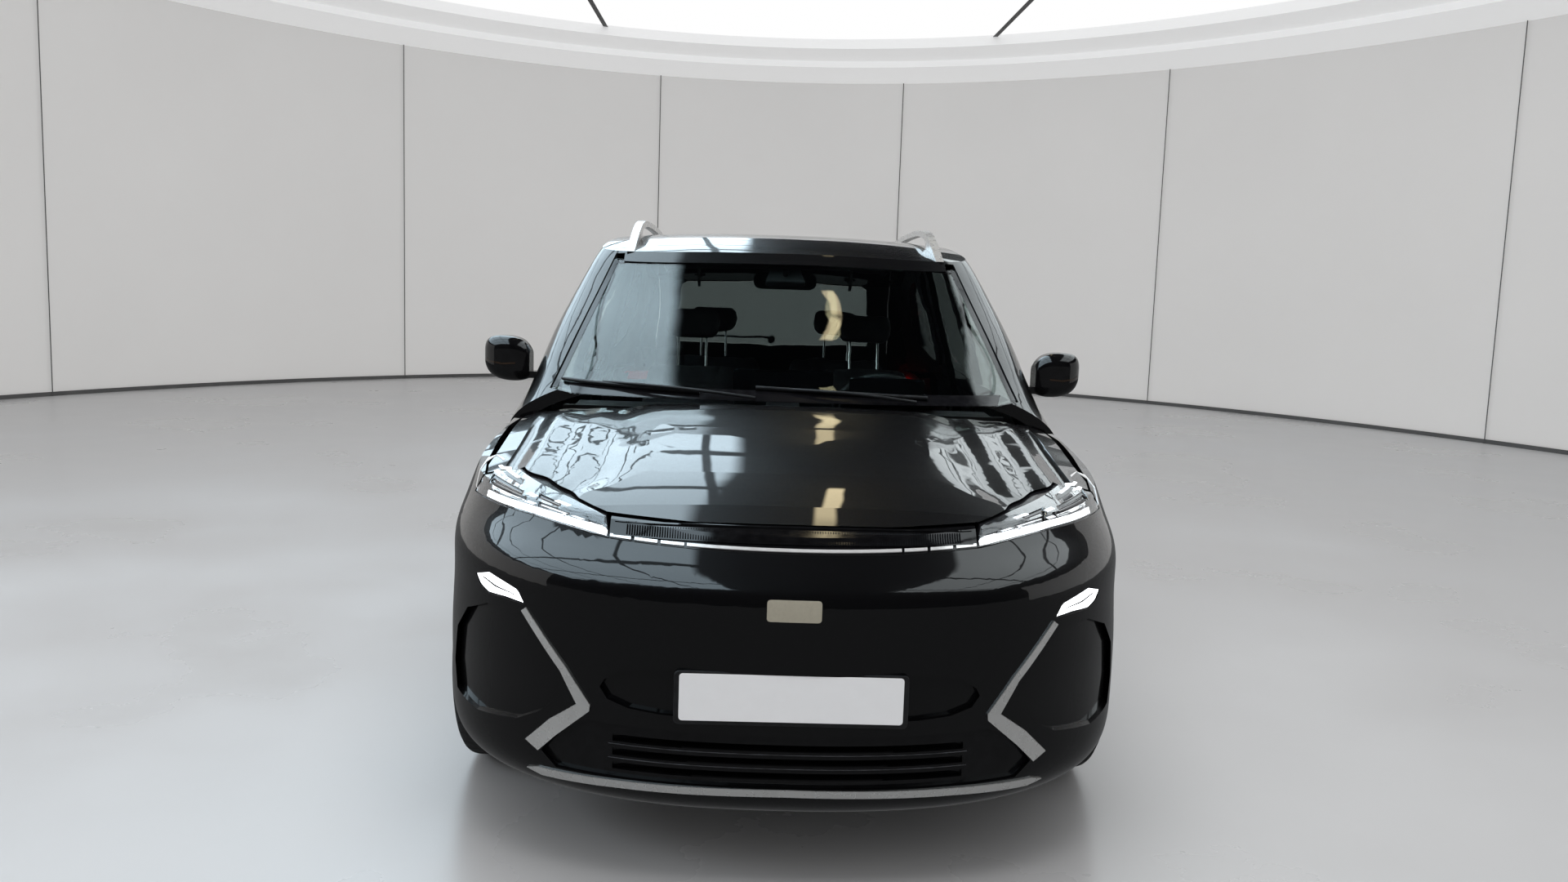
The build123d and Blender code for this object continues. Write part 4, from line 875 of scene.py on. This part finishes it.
mirror_silver = Mat("mirror_glass", (0.86, 0.88, 0.9), 0.02, 1.0).vary(10, 0.01)
repeater = Mat("repeater_lens", (0.022, 0.013, 0.008), 0.1).vary(80, 0.1)
mirror_tree = tree_of("mirror_left")
on_mirror = Caster(mirror_tree, lambda x, z: Vector((x, 1.0, z)), (0, -1, 0))
glass_low = [(.925, 1.120), (.94, 1.102), (1.010, 1.104), (1.032, 1.122)]
glass_high = [(.925, 1.170), (.94, 1.192), (1.010, 1.204), (1.032, 1.190)]
rear_face = max(on_mirror(x, 1.15).y for x in (.94, .97, 1.0, 1.02))


def flat_on_mirror(x, z):
    return Vector((x, rear_face - 0.002 + 0.16 * (x - 0.98), z))


for s, side in ((1, "left"), (-1, "right")):
    place = (lambda x, z: flat_on_mirror(x, z)) if s > 0 else (lambda x,
        z: Vector((-flat_on_mirror(-x, z).x, flat_on_mirror(-x, z).y, z)))
    lows = glass_low if s > 0 else flipped(glass_low)
    highs = glass_high if s > 0 else flipped(glass_high)
    patch(f"mirror_glass_{side}", place, lows, highs, 20, 8, mirror_silver, f"door_front_{side}",
        outward=BACK, lift=0.003, thick=0.003)
    patch(f"mirror_rim_{side}", place, [(x + (x - s * .98) * .06, z - .004) for x, z in lows],
        [(x + (x - s * .98) * .06, z + .004) for x, z in highs], 20, 8, plastic, f"door_front_{side}",
        outward=BACK, lift=0.001, thick=0.006)
dress(gloss, "mirror_left", "mirror_right")
on_cap = Caster(mirror_tree, lambda x, z: Vector((x, -3, z)), Y)
rep_low = [(.945, 1.134), (.99, 1.131), (1.035, 1.137), (1.050, 1.146)]
rep = patch("repeater_left", on_cap, rep_low, [(x, z + 0.006) for x, z in rep_low], 24, 3, repeater,
    "door_front_left", lift=0.0012, thick=0.002)
mirror_copy(rep, "repeater_right", "door_front_right")


# ---- cabin
seat_cloth = Mat("seat_cloth", (0.060, 0.060, 0.064), 0.75, Sheen_Weight=0.04).vary(12, 0.25,
    0.06).weave(2600, 0.35, 0.0004)
seat_skin = Mat("seat_leather", (0.040, 0.040, 0.043), 0.45).vary(18, 0.2, 0.06).cells(420, 0.35, 0.0005)
cabin_black = Mat("cabin_plastic", (0.026, 0.026, 0.028), 0.55).vary(25, 0.2, 0.06).cells(700, 0.4, 0.0004)
headlining = Mat("headlining", (0.16, 0.16, 0.163), 0.9).vary(40, 0.1).weave(1800, 0.25, 0.0003)
carpet = Mat("carpet", (0.014, 0.014, 0.015), 0.95).vary(60, 0.4).grain(1500, 0.9, 0.001)
screen_dark = Mat("display_dark", (0.006, 0.007, 0.009), 0.06).vary(20, 0.2, 0.01)


def superellipse(a, b, n, power=3.2):
    pts = []
    for i in range(n):
        t = 2 * pi * i / n
        c, s = cos(t), sin(t)
        pts.append((a * copysign(abs(c) ** (2 / power), c), b * copysign(abs(s) ** (2 / power), s)))
    return pts


def pad(name, sections, material, pressure=4.0, cap=0.018):
    """A stuffed form lofted through sections (centre, width axis, thickness axis, half width,
    half thickness), blown up a little by a cloth simulation."""
    ring, verts, faces = 28, [], []
    for centre, across, through, half_w, half_t in sections:
        centre, across, through = Vector(centre), Vector(across), Vector(through)
        for a, b in superellipse(half_w, half_t, ring, 3.6):
            verts.append(centre + across * a + through * b)
    n = len(sections)
    for j in range(n - 1):
        for i in range(ring):
            k = (i + 1) % ring
            faces.append((j * ring + i, j * ring + k, (j + 1) * ring + k, (j + 1) * ring + i))
    faces += [list(range(ring))[::-1], [(n - 1) * ring + i for i in range(ring)]]
    o = new_object(name, verts, faces, material)
    tidy_normals(o)
    remesh = o.modifiers.new("voxels", "REMESH")
    remesh.mode, remesh.voxel_size = "VOXEL", 0.009
    apply_modifiers(o)
    blow_up(o, pressure, cap)
    soft = o.modifiers.new("soften", "SMOOTH")
    soft.factor, soft.iterations = 0.5, 6
    apply_modifiers(o)
    o.data.materials.clear()
    o.data.materials.append(material.m)
    o.data.shade_smooth()
    return o


def apply_modifiers(o):
    dg = bpy.context.evaluated_depsgraph_get()
    dg.update()
    me = bpy.data.meshes.new_from_object(o.evaluated_get(dg))
    o.modifiers.clear()
    o.data = me


def blow_up(o, pressure, cap):
    start = [v.co.copy() for v in o.data.vertices]
    cloth = o.modifiers.new("cloth", "CLOTH")
    cs = cloth.settings
    cs.quality, cs.mass = 4, 0.3
    cs.use_pressure, cs.uniform_pressure_force = True, pressure
    cs.tension_stiffness = cs.compression_stiffness = 40
    cs.effector_weights.gravity = 0
    for f in range(1, 13):
        scene.frame_set(f)
    apply_modifiers(o)
    for v, p in zip(o.data.vertices, start):
        move = v.co - p
        if move.length > cap:
            v.co = p + move * (cap / move.length)
    scene.frame_set(1)


def crease(o, test, depth):
    """Press sewn channels into a pad: test gives 0 to 1 for how near a point is to a seam."""
    o.data.update()
    for v in o.data.vertices:
        k = test(v.co)
        if k > 0:
            v.co -= v.normal * depth * k
    o.data.update()


def near(value, lines, width=0.006):
    return max(max(0.0, 1 - abs(value - q) / width) for q in lines)


def seat_set(stem, x, half, y, base, bench=False):
    """Cushion, back, bolsters and headrest that stand in the room of one CAD seat."""
    h = half - 0.022
    cushion = pad(f"cushion_{stem}", [((x, y - 0.335, base + 0.115), X, (0, 0.1, 1), h * 0.90, 0.040),
        ((x, y - 0.300, base + 0.105), X, Z, h * 0.99, 0.062), ((x, y - 0.200, base + 0.088), X, Z, h,
        0.064), ((x, y - 0.060, base + 0.078), X, Z, h, 0.056), ((x, y + 0.040, base + 0.086), X, Z,
        h * 0.98, 0.060), ((x, y + 0.100, base + 0.092), X, Z, h * 0.92, 0.044)], seat_cloth)
    up = Vector((0, 0.30, 0.954))
    out = Vector((0, 0.954, -0.30))
    foot = Vector((x, y + 0.138, base + 0.165))
    backs = [(0.0, h * 0.90, 0.048), (0.05, h * 0.97, 0.058), (0.16, h * 0.985, 0.060),
        (0.30, h * 0.985, 0.056), (0.42, h * 0.95, 0.050), (0.50, h * 0.86, 0.044),
        (0.525, h * 0.78, 0.034)]
    back = pad(f"backrest_{stem}", [(foot + up * t + out * 0.012, X, out, w, k) for t, w, k in backs],
        seat_cloth)
    head = pad(f"headrest_{stem}", [(Vector((x, y + 0.322 + 0.3 * t, base + 0.786 + t)), X, (0, 1, -0.25),
        w, k) for t, w, k in ((0, 0.095, 0.022), (0.02, 0.112, 0.030), (0.06, 0.120, 0.034),
        (0.10, 0.114, 0.030), (0.118, 0.092, 0.020))], seat_skin, 3.0, 0.008)
    seams = (x - h * 0.52, x + h * 0.52)
    crease(cushion, lambda p: near(p.x, seams) * (1 if p.z > base + 0.10 else 0), 0.007)
    crease(cushion, lambda p: near(p.y, (y - 0.23, y - 0.10), 0.006) * (1
        if p.z > base + 0.10 and abs(p.x - x) < h * 0.52 else 0), 0.005)
    crease(back, lambda p: near(p.x, seams) * (1 if (p - foot).dot(out) < 0 else 0), 0.007)
    crease(back, lambda p: near((p - foot).dot(up), (0.14, 0.30, 0.43),
        0.006) * (1 if (p - foot).dot(out) < 0 and abs(p.x - x) < h * 0.52 else 0), 0.005)
    rods = [tube("rod", [(x + s * 0.062, y + 0.300, base + 0.66), (x + s * 0.062, y + 0.335, base + 0.80)],
        0.006, chrome) for s in (-1, 1)]
    posts = joined(f"headrest_posts_{stem}", rods, "body")
    for piece, fill in ((cushion, 0.75), (back, 0.7), (head, 0.85)):
        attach(piece, "body")
    if bench:
        return cushion, back, head, posts
    low, high = (Vector((x - h - 0.012, y - 0.30, base - 0.160)), Vector((x + h + 0.012, y + 0.10,
        base + 0.045)))
    slab(f"seat_base_{stem}", round_rect(high.y - low.y, 0.150, 0.05), high.x - low.x, cabin_black,
        ((low.x + high.x) / 2, (low.y + high.y) / 2, base - 0.045), Y, Z, 0.012, 3, body="body")
    rails = [slab("rail", round_rect(0.42, 0.028, 0.008), 0.04, black_steel,
        (x + s * 0.16, y - 0.10, base - 0.150), Y, Z, 0.002) for s in (-1, 1)]
    joined(f"seat_rails_{stem}", rails, "body")
    return cushion, back, head, posts


front_left = seat_set("front_left", 0.380, 0.250, 0.0, 0.410)
front_right = seat_set("front_right", -0.380, 0.250, 0.0, 0.410)
for piece in front_left + front_right:
    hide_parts("front_seats")
rear_pieces = seat_set("rear_left", 0.316, 0.302, 0.9, 0.400, True) + seat_set("rear_right", -0.316, 0.302,
    0.9, 0.400, True)
for piece in rear_pieces:
    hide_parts("rear_bench")
slab("bench_plinth", round_rect(0.40, 0.115, 0.03), 1.20, cabin_black, (0, 0.70, 0.462), Y, Z, 0.01, 3,
    body="body")

dress(cabin_black, "dashboard")
dress(seat_skin, "steering_wheel")
w_lo, w_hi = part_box("steering_wheel")
hub = Vector(((w_lo[0] + w_hi[0]) / 2, -0.545, 0.950))
tilt_up, tilt_out = Vector((0, -0.423, 0.906)), Vector((0, 0.906, 0.423))
slab("wheel_pad", round_rect(0.135, 0.105, 0.035), 0.020, cabin_black, hub + tilt_out * 0.022, X, tilt_up,
    0.007, 3, body="steering_wheel")
for s, side in ((1, "left"), (-1, "right")):
    keys = slab(f"wheel_keys_{side}", round_rect(0.042, 0.030, 0.008), 0.008, gloss,
        hub + Vector((s * 0.100, 0, 0)) + tilt_out * 0.014, X, tilt_up, 0.002)
    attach(keys, "steering_wheel")
    tube(f"stalk_{side}", [tuple(hub - tilt_out * 0.075 + Vector((s * 0.02, 0, 0))),
        tuple(hub - tilt_out * 0.07 + Vector((s * 0.10, 0, 0.01))),
        tuple(hub - tilt_out * 0.06 + Vector((s * 0.165, 0, 0.02)))], 0.007, cabin_black, "body", 12)
hood = slab("binnacle", round_rect(0.34, 0.020, 0.009), 0.13, cabin_black, (0.37, -0.800, 1.033), X,
    (0, 0.25, 0.97), 0.006, 3)
cluster = slab("driver_display", round_rect(0.27, 0.100, 0.012), 0.014, screen_dark, (0.37, -0.742, 1.070),
    X, (0, -0.25, 0.968), 0.003)
centre = slab("centre_display", round_rect(0.36, 0.205, 0.014), 0.016, screen_dark, (0.0, -0.690, 1.035), X,
    (0, -0.22, 0.975), 0.004)
stem_ = slab("display_stem", round_rect(0.12, 0.09, 0.02), 0.05, cabin_black, (0.0, -0.725, 0.985), X,
    (0, 0.2, 0.98), 0.006)
console = slab("console", [(-0.62, 0.24), (0.02, 0.24), (0.05, 0.56), (0.0, 0.60), (-0.30, 0.60),
    (-0.60, 0.74), (-0.69, 0.76), (-0.69, 0.30)], 0.225, cabin_black, (0, 0, 0), Y, Z, 0.018, 4)
for o in (hood, cluster, centre, stem_, console):
    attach(o, "body")
vents = []
for x in (-0.60, -0.24, 0.20, 0.60):
    for k in range(5):
        vents.append(slab("vane", round_rect(0.115, 0.004, 0.0015), 0.012, gloss,
            (x, -0.668, 0.912 + 0.011 * k), X, (0, 0.25, 0.97), 0.0005, 1))
joined("air_vents", vents, "body")

inner_mirror = slab("inner_mirror", round_rect(0.235, 0.062, 0.026), 0.018, gloss, (0, -0.505, 1.452), X,
    (0, 0.15, 0.99), 0.006, 3)
inner_glass = slab("inner_mirror_glass", round_rect(0.222, 0.052, 0.022), 0.002, mirror_silver,
    (0, -0.4945, 1.4535), X, (0, 0.15, 0.99), 0.0005)
mirror_foot = tube("inner_mirror_arm", [(0, -0.51, 1.455), (0, -0.545, 1.475), (0, -0.560, 1.492)], 0.009,
    gloss, None, 12)
camera_pod = slab("sensor_cover", [(-0.075, 0.0), (0.075, 0.0), (0.055, 0.085), (-0.055, 0.085)], 0.03,
    cabin_black, (0, -0.560, 1.440), X, (0, 0.80, 0.60), 0.008, 3)
for o in (inner_mirror, inner_glass, mirror_foot, camera_pod):
    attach(o, "body")
for s, side in ((1, "left"), (-1, "right")):
    slab(f"sun_visor_{side}", round_rect(0.36, 0.145, 0.03), 0.016, headlining, (s * 0.34, -0.395, 1.535),
        X, (0, 0.93, 0.36), 0.006, 3, body="body")
floor_mat_ = slab("cabin_carpet", round_rect(1.40, 1.83, 0.03), 0.010, carpet, (0, -0.075, 0.246), X, Y,
    0.003)
boot_carpet = slab("boot_carpet", round_rect(1.18, 1.24, 0.03), 0.010, carpet, (0, 1.535, 0.451), X, Y,
    0.003)
for o in (floor_mat_, boot_carpet):
    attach(o, "body")


def line_inside(material, name, test):
    """A second material on the faces of a node that look into the cabin."""
    o = node[name]
    o.data.materials.append(material.m)
    slot = len(o.data.materials) - 1
    for p in o.data.polygons:
        if test(p):
            p.material_index = slot


line_inside(headlining, "roof_panel", lambda p: p.normal.z < -0.35)
for s, side in ((1, "left"), (-1, "right")):
    inward = lambda p: p.normal.x * s < -0.55
    for n in ("door_front", "door_rear", "side_frame", "quarter_panel"):
        line_inside(cabin_black, f"{n}_{side}", inward)
line_inside(cabin_black, "tailgate", lambda p: p.normal.y < -0.45)
line_inside(dark_glass, "fixed_glass", lambda p: p.center.y > REAR_GLASS_Y)


def door_card(stem, y0, y1, bodies):
    """Armrest, pull and a speaker grille on the inside of a door."""
    parts = []
    x = 0.806
    mid = (y0 + y1) / 2
    rest = slab("armrest", round_rect(0.42, 0.075, 0.03), 0.045, seat_skin, (x - 0.012, mid + 0.02, 0.735),
        Y, Z, 0.012, 3)
    pull = slab("pull", round_rect(0.15, 0.022, 0.010), 0.020, gloss, (x - 0.006, mid - 0.10, 0.905), Y,
        (0, 0.1, 1), 0.004, 3)
    ring = lathe("speaker", [(x - 0.004, 0.0), (x - 0.009, 0.05), (x - 0.007, 0.072), (x - 0.010, 0.078),
        (x - 0.003, 0.084), (x + 0.006, 0.084), (x + 0.006, 0)], cabin_black, at=(0, y0 + 0.20, 0.47),
        segments=48, closed=False)
    parts = [rest, pull, ring]
    one = joined(f"{stem}_fittings_left", parts, bodies[0])
    mirror_copy(one, f"{stem}_fittings_right", bodies[1])


door_card("door_front", -0.75, 0.08, door_bodies("door_front"))
door_card("door_rear", 0.25, 0.85, door_bodies("door_rear"))

# ---- tail
red_glass = Mat("tail_red", (0.42, 0.006, 0.01), 0.12).vary(60, 0.1, 0.03).cells(300, 0.15,
    0.0004).glow((0.8, 0.01, 0.01), 0.10)
red_light = Mat("tail_painted_glow_line", (0.75, 0.02, 0.02), 0.25).vary(90, 0.05).glow((1.0, 0.02, 0.015), 0.8)
dress(red_glass, "tail_lamps", "light_bar")
reflector = Mat("reflector_red", (0.5, 0.01, 0.01), 0.15).vary(40, 0.1).cells(420, 0.4, 0.0005)
tail_tree = tree_of("tailgate", "tailgate_glass", "light_bar", "tail_lamps", "rear_bumper",
    "quarter_panel_left", "quarter_panel_right")
on_tail = Caster(tail_tree, lambda x, z: Vector((x, 3.2, z)), (0, -1, 0))
BAR_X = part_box("light_bar")[1][0]
patch("tail_line", on_tail, *strip(.012 - BAR_X, BAR_X - .012, .8825, 0.006, 60), 121, 2, red_light,
    "tailgate", lift=0.0012, thick=0.002, outward=BACK)
for k, z in enumerate((.872, .884, .896)):
    both_sides(f"tail_rung_{k}", *strip(BAR_X + .022, BAR_X + .177, z, 0.0045), 41, 2, red_light,
        caster=on_tail, lift=0.0012, thick=0.002, outward=BACK)
both_sides("rear_reflector", *strip(.60, .76, .438, 0.028, 12), 24, 4, reflector, caster=on_tail,
    lift=0.002, thick=0.003, outward=BACK)
line = [(-.585 + 1.17 * i / 40, .262) for i in range(41)]
high = [(x, .384 if abs(x) < .47 else .384 - (abs(x) - .47) * .9) for x, z in line]
patch("rear_diffuser", on_tail, line, high, 81, 12, sill_trim, "body", lift=0.003, thick=0.004,
    outward=BACK)
for k, x in enumerate((-.36, -.18, 0, .18, .36)):
    edge = [(x, .266 + .10 * i / 8) for i in range(9)]
    o = patch(f"diffuser_rib_{k}", on_tail, edge, [(a + 0.010, z) for a, z in edge], 17, 2, sill_trim,
        "body", lift=0.0105, thick=0.010, outward=BACK)
patch("rear_trim_line", on_tail, *strip(-.52, .52, .392, 0.008, 30), 61, 2, satin, "body", lift=0.003,
    thick=0.004, outward=BACK)
on_gate_glass = Caster(tree_of("tailgate_glass"), lambda x, z: Vector((x, 3.2, z)), (0, -1, 0))
spindle = on_gate_glass(0, 1.105)
if spindle is not None:
    up_glass = Vector((0, -0.45, 0.89))
    out_glass = Vector((0, 0.89, 0.45))
    cap = lathe("rear_wiper_hub", [(0, 0), (0, 0.020), (0.012, 0.020), (0.022, 0.014), (0.024, 0)],
        wiper_rubber, axis="Z", segments=32, closed=False)
    turn = Vector(Z).rotation_difference(out_glass).to_matrix()
    for v in cap.data.vertices:
        v.co = turn @ v.co + spindle
    arm = tube("arm", [tuple(spindle + out_glass * 0.018), tuple(spindle + Vector((-0.10, 0,
        0)) + out_glass * 0.024 + up_glass * 0.006), tuple(spindle + Vector((-0.24, 0,
        0)) + out_glass * 0.016 + up_glass * 0.012)], 0.006, wiper_rubber, None, 12)
    blade = tube("blade", [tuple(on_gate_glass(-0.06 - 0.035 * i, 1.118) + out_glass * 0.009)
        for i in range(11)], 0.0055, wiper_rubber, None, 12)
    joined("rear_wiper", [cap, arm, blade], "tailgate")
slab("gate_release", round_rect(0.13, 0.022, 0.008), 0.006, gloss, on_tail(0, 0.802), X, (0, 0.1, 0.99),
    0.002, body="tailgate")

# antenna fin on the roof
roof_tree = tree_of("roof_panel")
base = roof_tree.ray_cast(Vector((0, 1.55, 2.2)), Vector((0, 0, -1)))[0]
fin_v, fin_f = [], []
for j in range(9):
    t = j / 8
    y = base.y - 0.085 + 0.15 * t
    h_ = 0.004 + 0.050 * sin(pi * t * 0.5) ** 1.5
    w = 0.022 * (1 - (2 * t - 0.9) ** 2 * 0.6)
    z0 = roof_tree.ray_cast(Vector((0, y, 2.2)), Vector((0, 0, -1)))[0].z
    for k in range(9):
        a = pi * k / 8
        fin_v.append((w * cos(a) * (1 - 0.75 * sin(a)), y + 0.02 * sin(a), z0 + h_ * sin(a)))
for j in range(8):
    for k in range(8):
        fin_f.append((j * 9 + k, j * 9 + k + 1, (j + 1) * 9 + k + 1, (j + 1) * 9 + k))
fin_f += [list(range(9))[::-1], [72 + k for k in range(9)], [j * 9 for j in range(9)] + [j * 9 + 8
    for j in range(8, -1, -1)]]
fin = new_object("antenna_fin", fin_v, fin_f, gloss)
tidy_normals(fin)
smooth_by_angle(fin, 50)
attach(fin, "body")


# ---- the room
def add_room():
    half_x, back, wall_top, ceiling = 9.4, 13.2, 4.35, 4.6
    floor_mat = Mat("floor_concrete", (0.47, 0.47, 0.475), 0.32)
    floor_mat.vary(0.7, 0.07, 0.08, 8)
    # painted reflection: glossy rays see the floor as a flat dark emission
    painted_floor_reflection(floor_mat, FLOOR_IN_GLOSS)
    wall_mat = Mat("wall_plaster", (0.72, 0.71, 0.70), 0.8).vary(0.5, 0.02, 0, 4).glow((1, 0.99, 0.975),
        0.13)
    ceiling_mat = Mat("ceiling_white", (0.86, 0.86, 0.86), 0.8).vary(0.5, 0.01).glow((1, 1, 1), 0.28)
    seam_mat = Mat("room_joint", (0.10, 0.10, 0.10), 0.7).vary(3, 0.1)
    n = 96
    rim = [(cos(2 * pi * i / n), sin(2 * pi * i / n)) for i in range(n)]
    floor = new_object("floor", [(60 * x, 60 * y, 0) for x, y in rim], [list(range(n))], floor_mat)
    arc = [(half_x * sin(a), back * cos(a)) for a in [radians(-112 + 224 * i / 120) for i in range(121)]]
    wall = new_object("wall", [(x, y, z) for z in (0.0, wall_top) for x, y in arc],
        [(i, i + 1, i + 122, i + 121) for i in range(120)], wall_mat, True)
    skirting = new_object("skirting", [(x * .998, y * .998, z) for z in (0.0, 0.045) for x, y in arc],
        [(i, i + 1, i + 122, i + 121) for i in range(120)], seam_mat, True)
    back_arc = [p for p in arc if p[1] > 5.5]
    k = len(back_arc)
    soffit = new_object("soffit", [(x * s, y * s, z) for s, z in ((1, wall_top), (0.93, 4.42), (0.93, 4.50),
        (0.86, 4.50), (0.86, 4.62)) for x, y in back_arc], [(r * k + i, r * k + i + 1, (r + 1) * k + i + 1,
        (r + 1) * k + i) for r in range(4) for i in range(k - 1)], ceiling_mat)
    for a in (-53, -30.5, -9.5, 12.0, 33.5, 55):
        x, y = half_x * sin(radians(a)) * .997, back * cos(radians(a)) * .997
        t = Vector((-y / back ** 2, x / half_x ** 2, 0)).normalized() * 0.006
        new_object("joint", [(x - t.x, y - t.y, 0), (x + t.x, y + t.y, 0),
            (x + t.x, y + t.y, wall_top), (x - t.x, y - t.y, wall_top)], [(0, 1, 2, 3)], seam_mat)
    for x in (-2.13, 2.79):
        new_object("beam", [(x, 11.2, ceiling), (x + 0.06, 11.2, ceiling),
            (x + 0.06, 6.0, ceiling), (x, 6.0, ceiling)], [(0, 1, 2, 3)], seam_mat)
    add_world()


def painted_floor_reflection(mat, share):
    """Painted reflection: glossy rays see a flat dark emission in place of the lit surface, so the room
    shows darker in reflections than it is seen directly.
    """
    path = mat.node("ShaderNodeLightPath")
    # painted reflection colour: a flat emission that replaces the surface for glossy rays
    dark = mat.node("ShaderNodeEmission")
    dark.inputs["Color"].default_value = (0.24 * share, 0.245 * share, 0.25 * share, 1)
    mix = mat.node("ShaderNodeMixShader")
    out = mat.t.nodes["Material Output"]
    mat.link(path.outputs["Is Glossy Ray"], mix.inputs["Fac"])
    mat.link(mat.b.outputs["BSDF"], mix.inputs[1])
    mat.link(dark.outputs["Emission"], mix.inputs[2])
    mat.link(mix.outputs["Shader"], out.inputs["Surface"])


def add_world():
    """Plain white where seen directly; gloss mirrors a dark hall with window strips and tubes."""
    world = bpy.data.worlds.new("world")
    scene.world = world
    world.use_nodes = True
    t = world.node_tree
    bg = t.nodes["Background"]

    def fill(sockets, values):
        for socket, value in zip(sockets, values):
            if isinstance(value, bpy.types.NodeSocket):
                t.links.new(value, socket)
            else:
                socket.default_value = value

    def m(op, *args):
        n = t.nodes.new("ShaderNodeMath")
        n.operation = op
        fill(n.inputs, args)
        return n.outputs[0]

    def step(value, at, soft):
        n = t.nodes.new("ShaderNodeMapRange")
        n.interpolation_type = "SMOOTHSTEP"
        fill([n.inputs["Value"], n.inputs["From Min"], n.inputs["From Max"]], [value, at - soft, at + soft])
        return n.outputs["Result"]

    def band(value, low, high, soft=0.02):
        return m("MULTIPLY", step(value, low, soft), m("SUBTRACT", 1.0, step(value, high, soft)))

    def mix(fac, a, b):
        n = t.nodes.new("ShaderNodeMix")
        n.data_type = "RGBA"
        fill([n.inputs[0], n.inputs[6], n.inputs[7]], [fac, a, b])
        return n.outputs[2]

    split = t.nodes.new("ShaderNodeSeparateXYZ")
    t.links.new(t.nodes.new("ShaderNodeTexCoord").outputs["Generated"], split.inputs[0])
    x, y, z = split.outputs
    rise = m("MAXIMUM", z, 0.03)
    u, v = m("DIVIDE", x, rise), m("DIVIDE", y, rise)
    overhead = step(z, 0.09, 0.03)
    drift = m("MULTIPLY", m("MINIMUM", m("MAXIMUM", v, 0.0), 1.6), 0.09)
    left = m("MULTIPLY", band(m("SUBTRACT", u, drift), -2.1, -0.17), band(v, -1.1, 9.0, 0.1))
    right = m("MULTIPLY", band(u, 0.47, 1.5), band(v, -0.9, 2.6, 0.1))
    cross = band(m("FRACT", m("MULTIPLY_ADD", v, 1.6, m("MULTIPLY", u, 0.25))), 0.035, 0.97, 0.012)
    along_u = band(m("FRACT", m("MULTIPLY_ADD", u, 2.3, m("MULTIPLY", v, 0.12))), 0.03, 0.985, 0.01)
    bars = m("MULTIPLY", cross, along_u)
    tubes = m("MAXIMUM", m("MULTIPLY", band(m("MULTIPLY_ADD", v, -0.2, u), 0.0, 0.014, 0.002),
        band(v, 0.33, 0.385, 0.004)), m("MULTIPLY", band(m("MULTIPLY_ADD", v, -0.09, u), -0.006, 0.02,
        0.004), band(v, 0.9, 1.3, 0.02)))
    sky = mix(m("MULTIPLY", m("MULTIPLY", left, bars), overhead), (0.006, 0.0065, 0.008, 1),
        (2.5, 3.1, 3.5, 1))
    sky = mix(m("MULTIPLY", m("MULTIPLY", right, bars), overhead), sky, (1.8, 1.95, 2.0, 1))
    sky = mix(m("MULTIPLY", tubes, overhead), sky, (5.0, 4.2, 2.6, 1))
    path = t.nodes.new("ShaderNodeLightPath")
    direct = m("MAXIMUM", path.outputs["Is Camera Ray"], path.outputs["Is Transmission Ray"])
    light = mix(direct, (AMBIENT, AMBIENT, AMBIENT, 1), (1, 1, 1, 1))
    t.links.new(mix(path.outputs["Is Glossy Ray"], light, sky), bg.inputs["Color"])


def lamp(name, at, to, size, power, color=(1, 1, 1)):
    data = bpy.data.lights.new(name, "AREA")
    data.shape, data.size, data.size_y = "RECTANGLE", *size
    data.energy, data.color = power, color
    o = bpy.data.objects.new(name, data)
    scene.collection.objects.link(o)
    o.location = at
    o.rotation_mode = "QUATERNION"
    o.rotation_quaternion = (Vector(to) - Vector(at)).to_track_quat("-Z", "Y")
    o.visible_glossy = False
    return o


add_room()
key = lamp("key_overhead", (0, -1.5, 5.2), (0, 0, 0), (3.2, 5.0), 160)
key.visible_transmission = False
lamp("fill_left", (-6.0, -2.5, 3.2), (0, -0.5, 0.8), (2.2, 1.6), 70, (0.85, 0.93, 1.0))
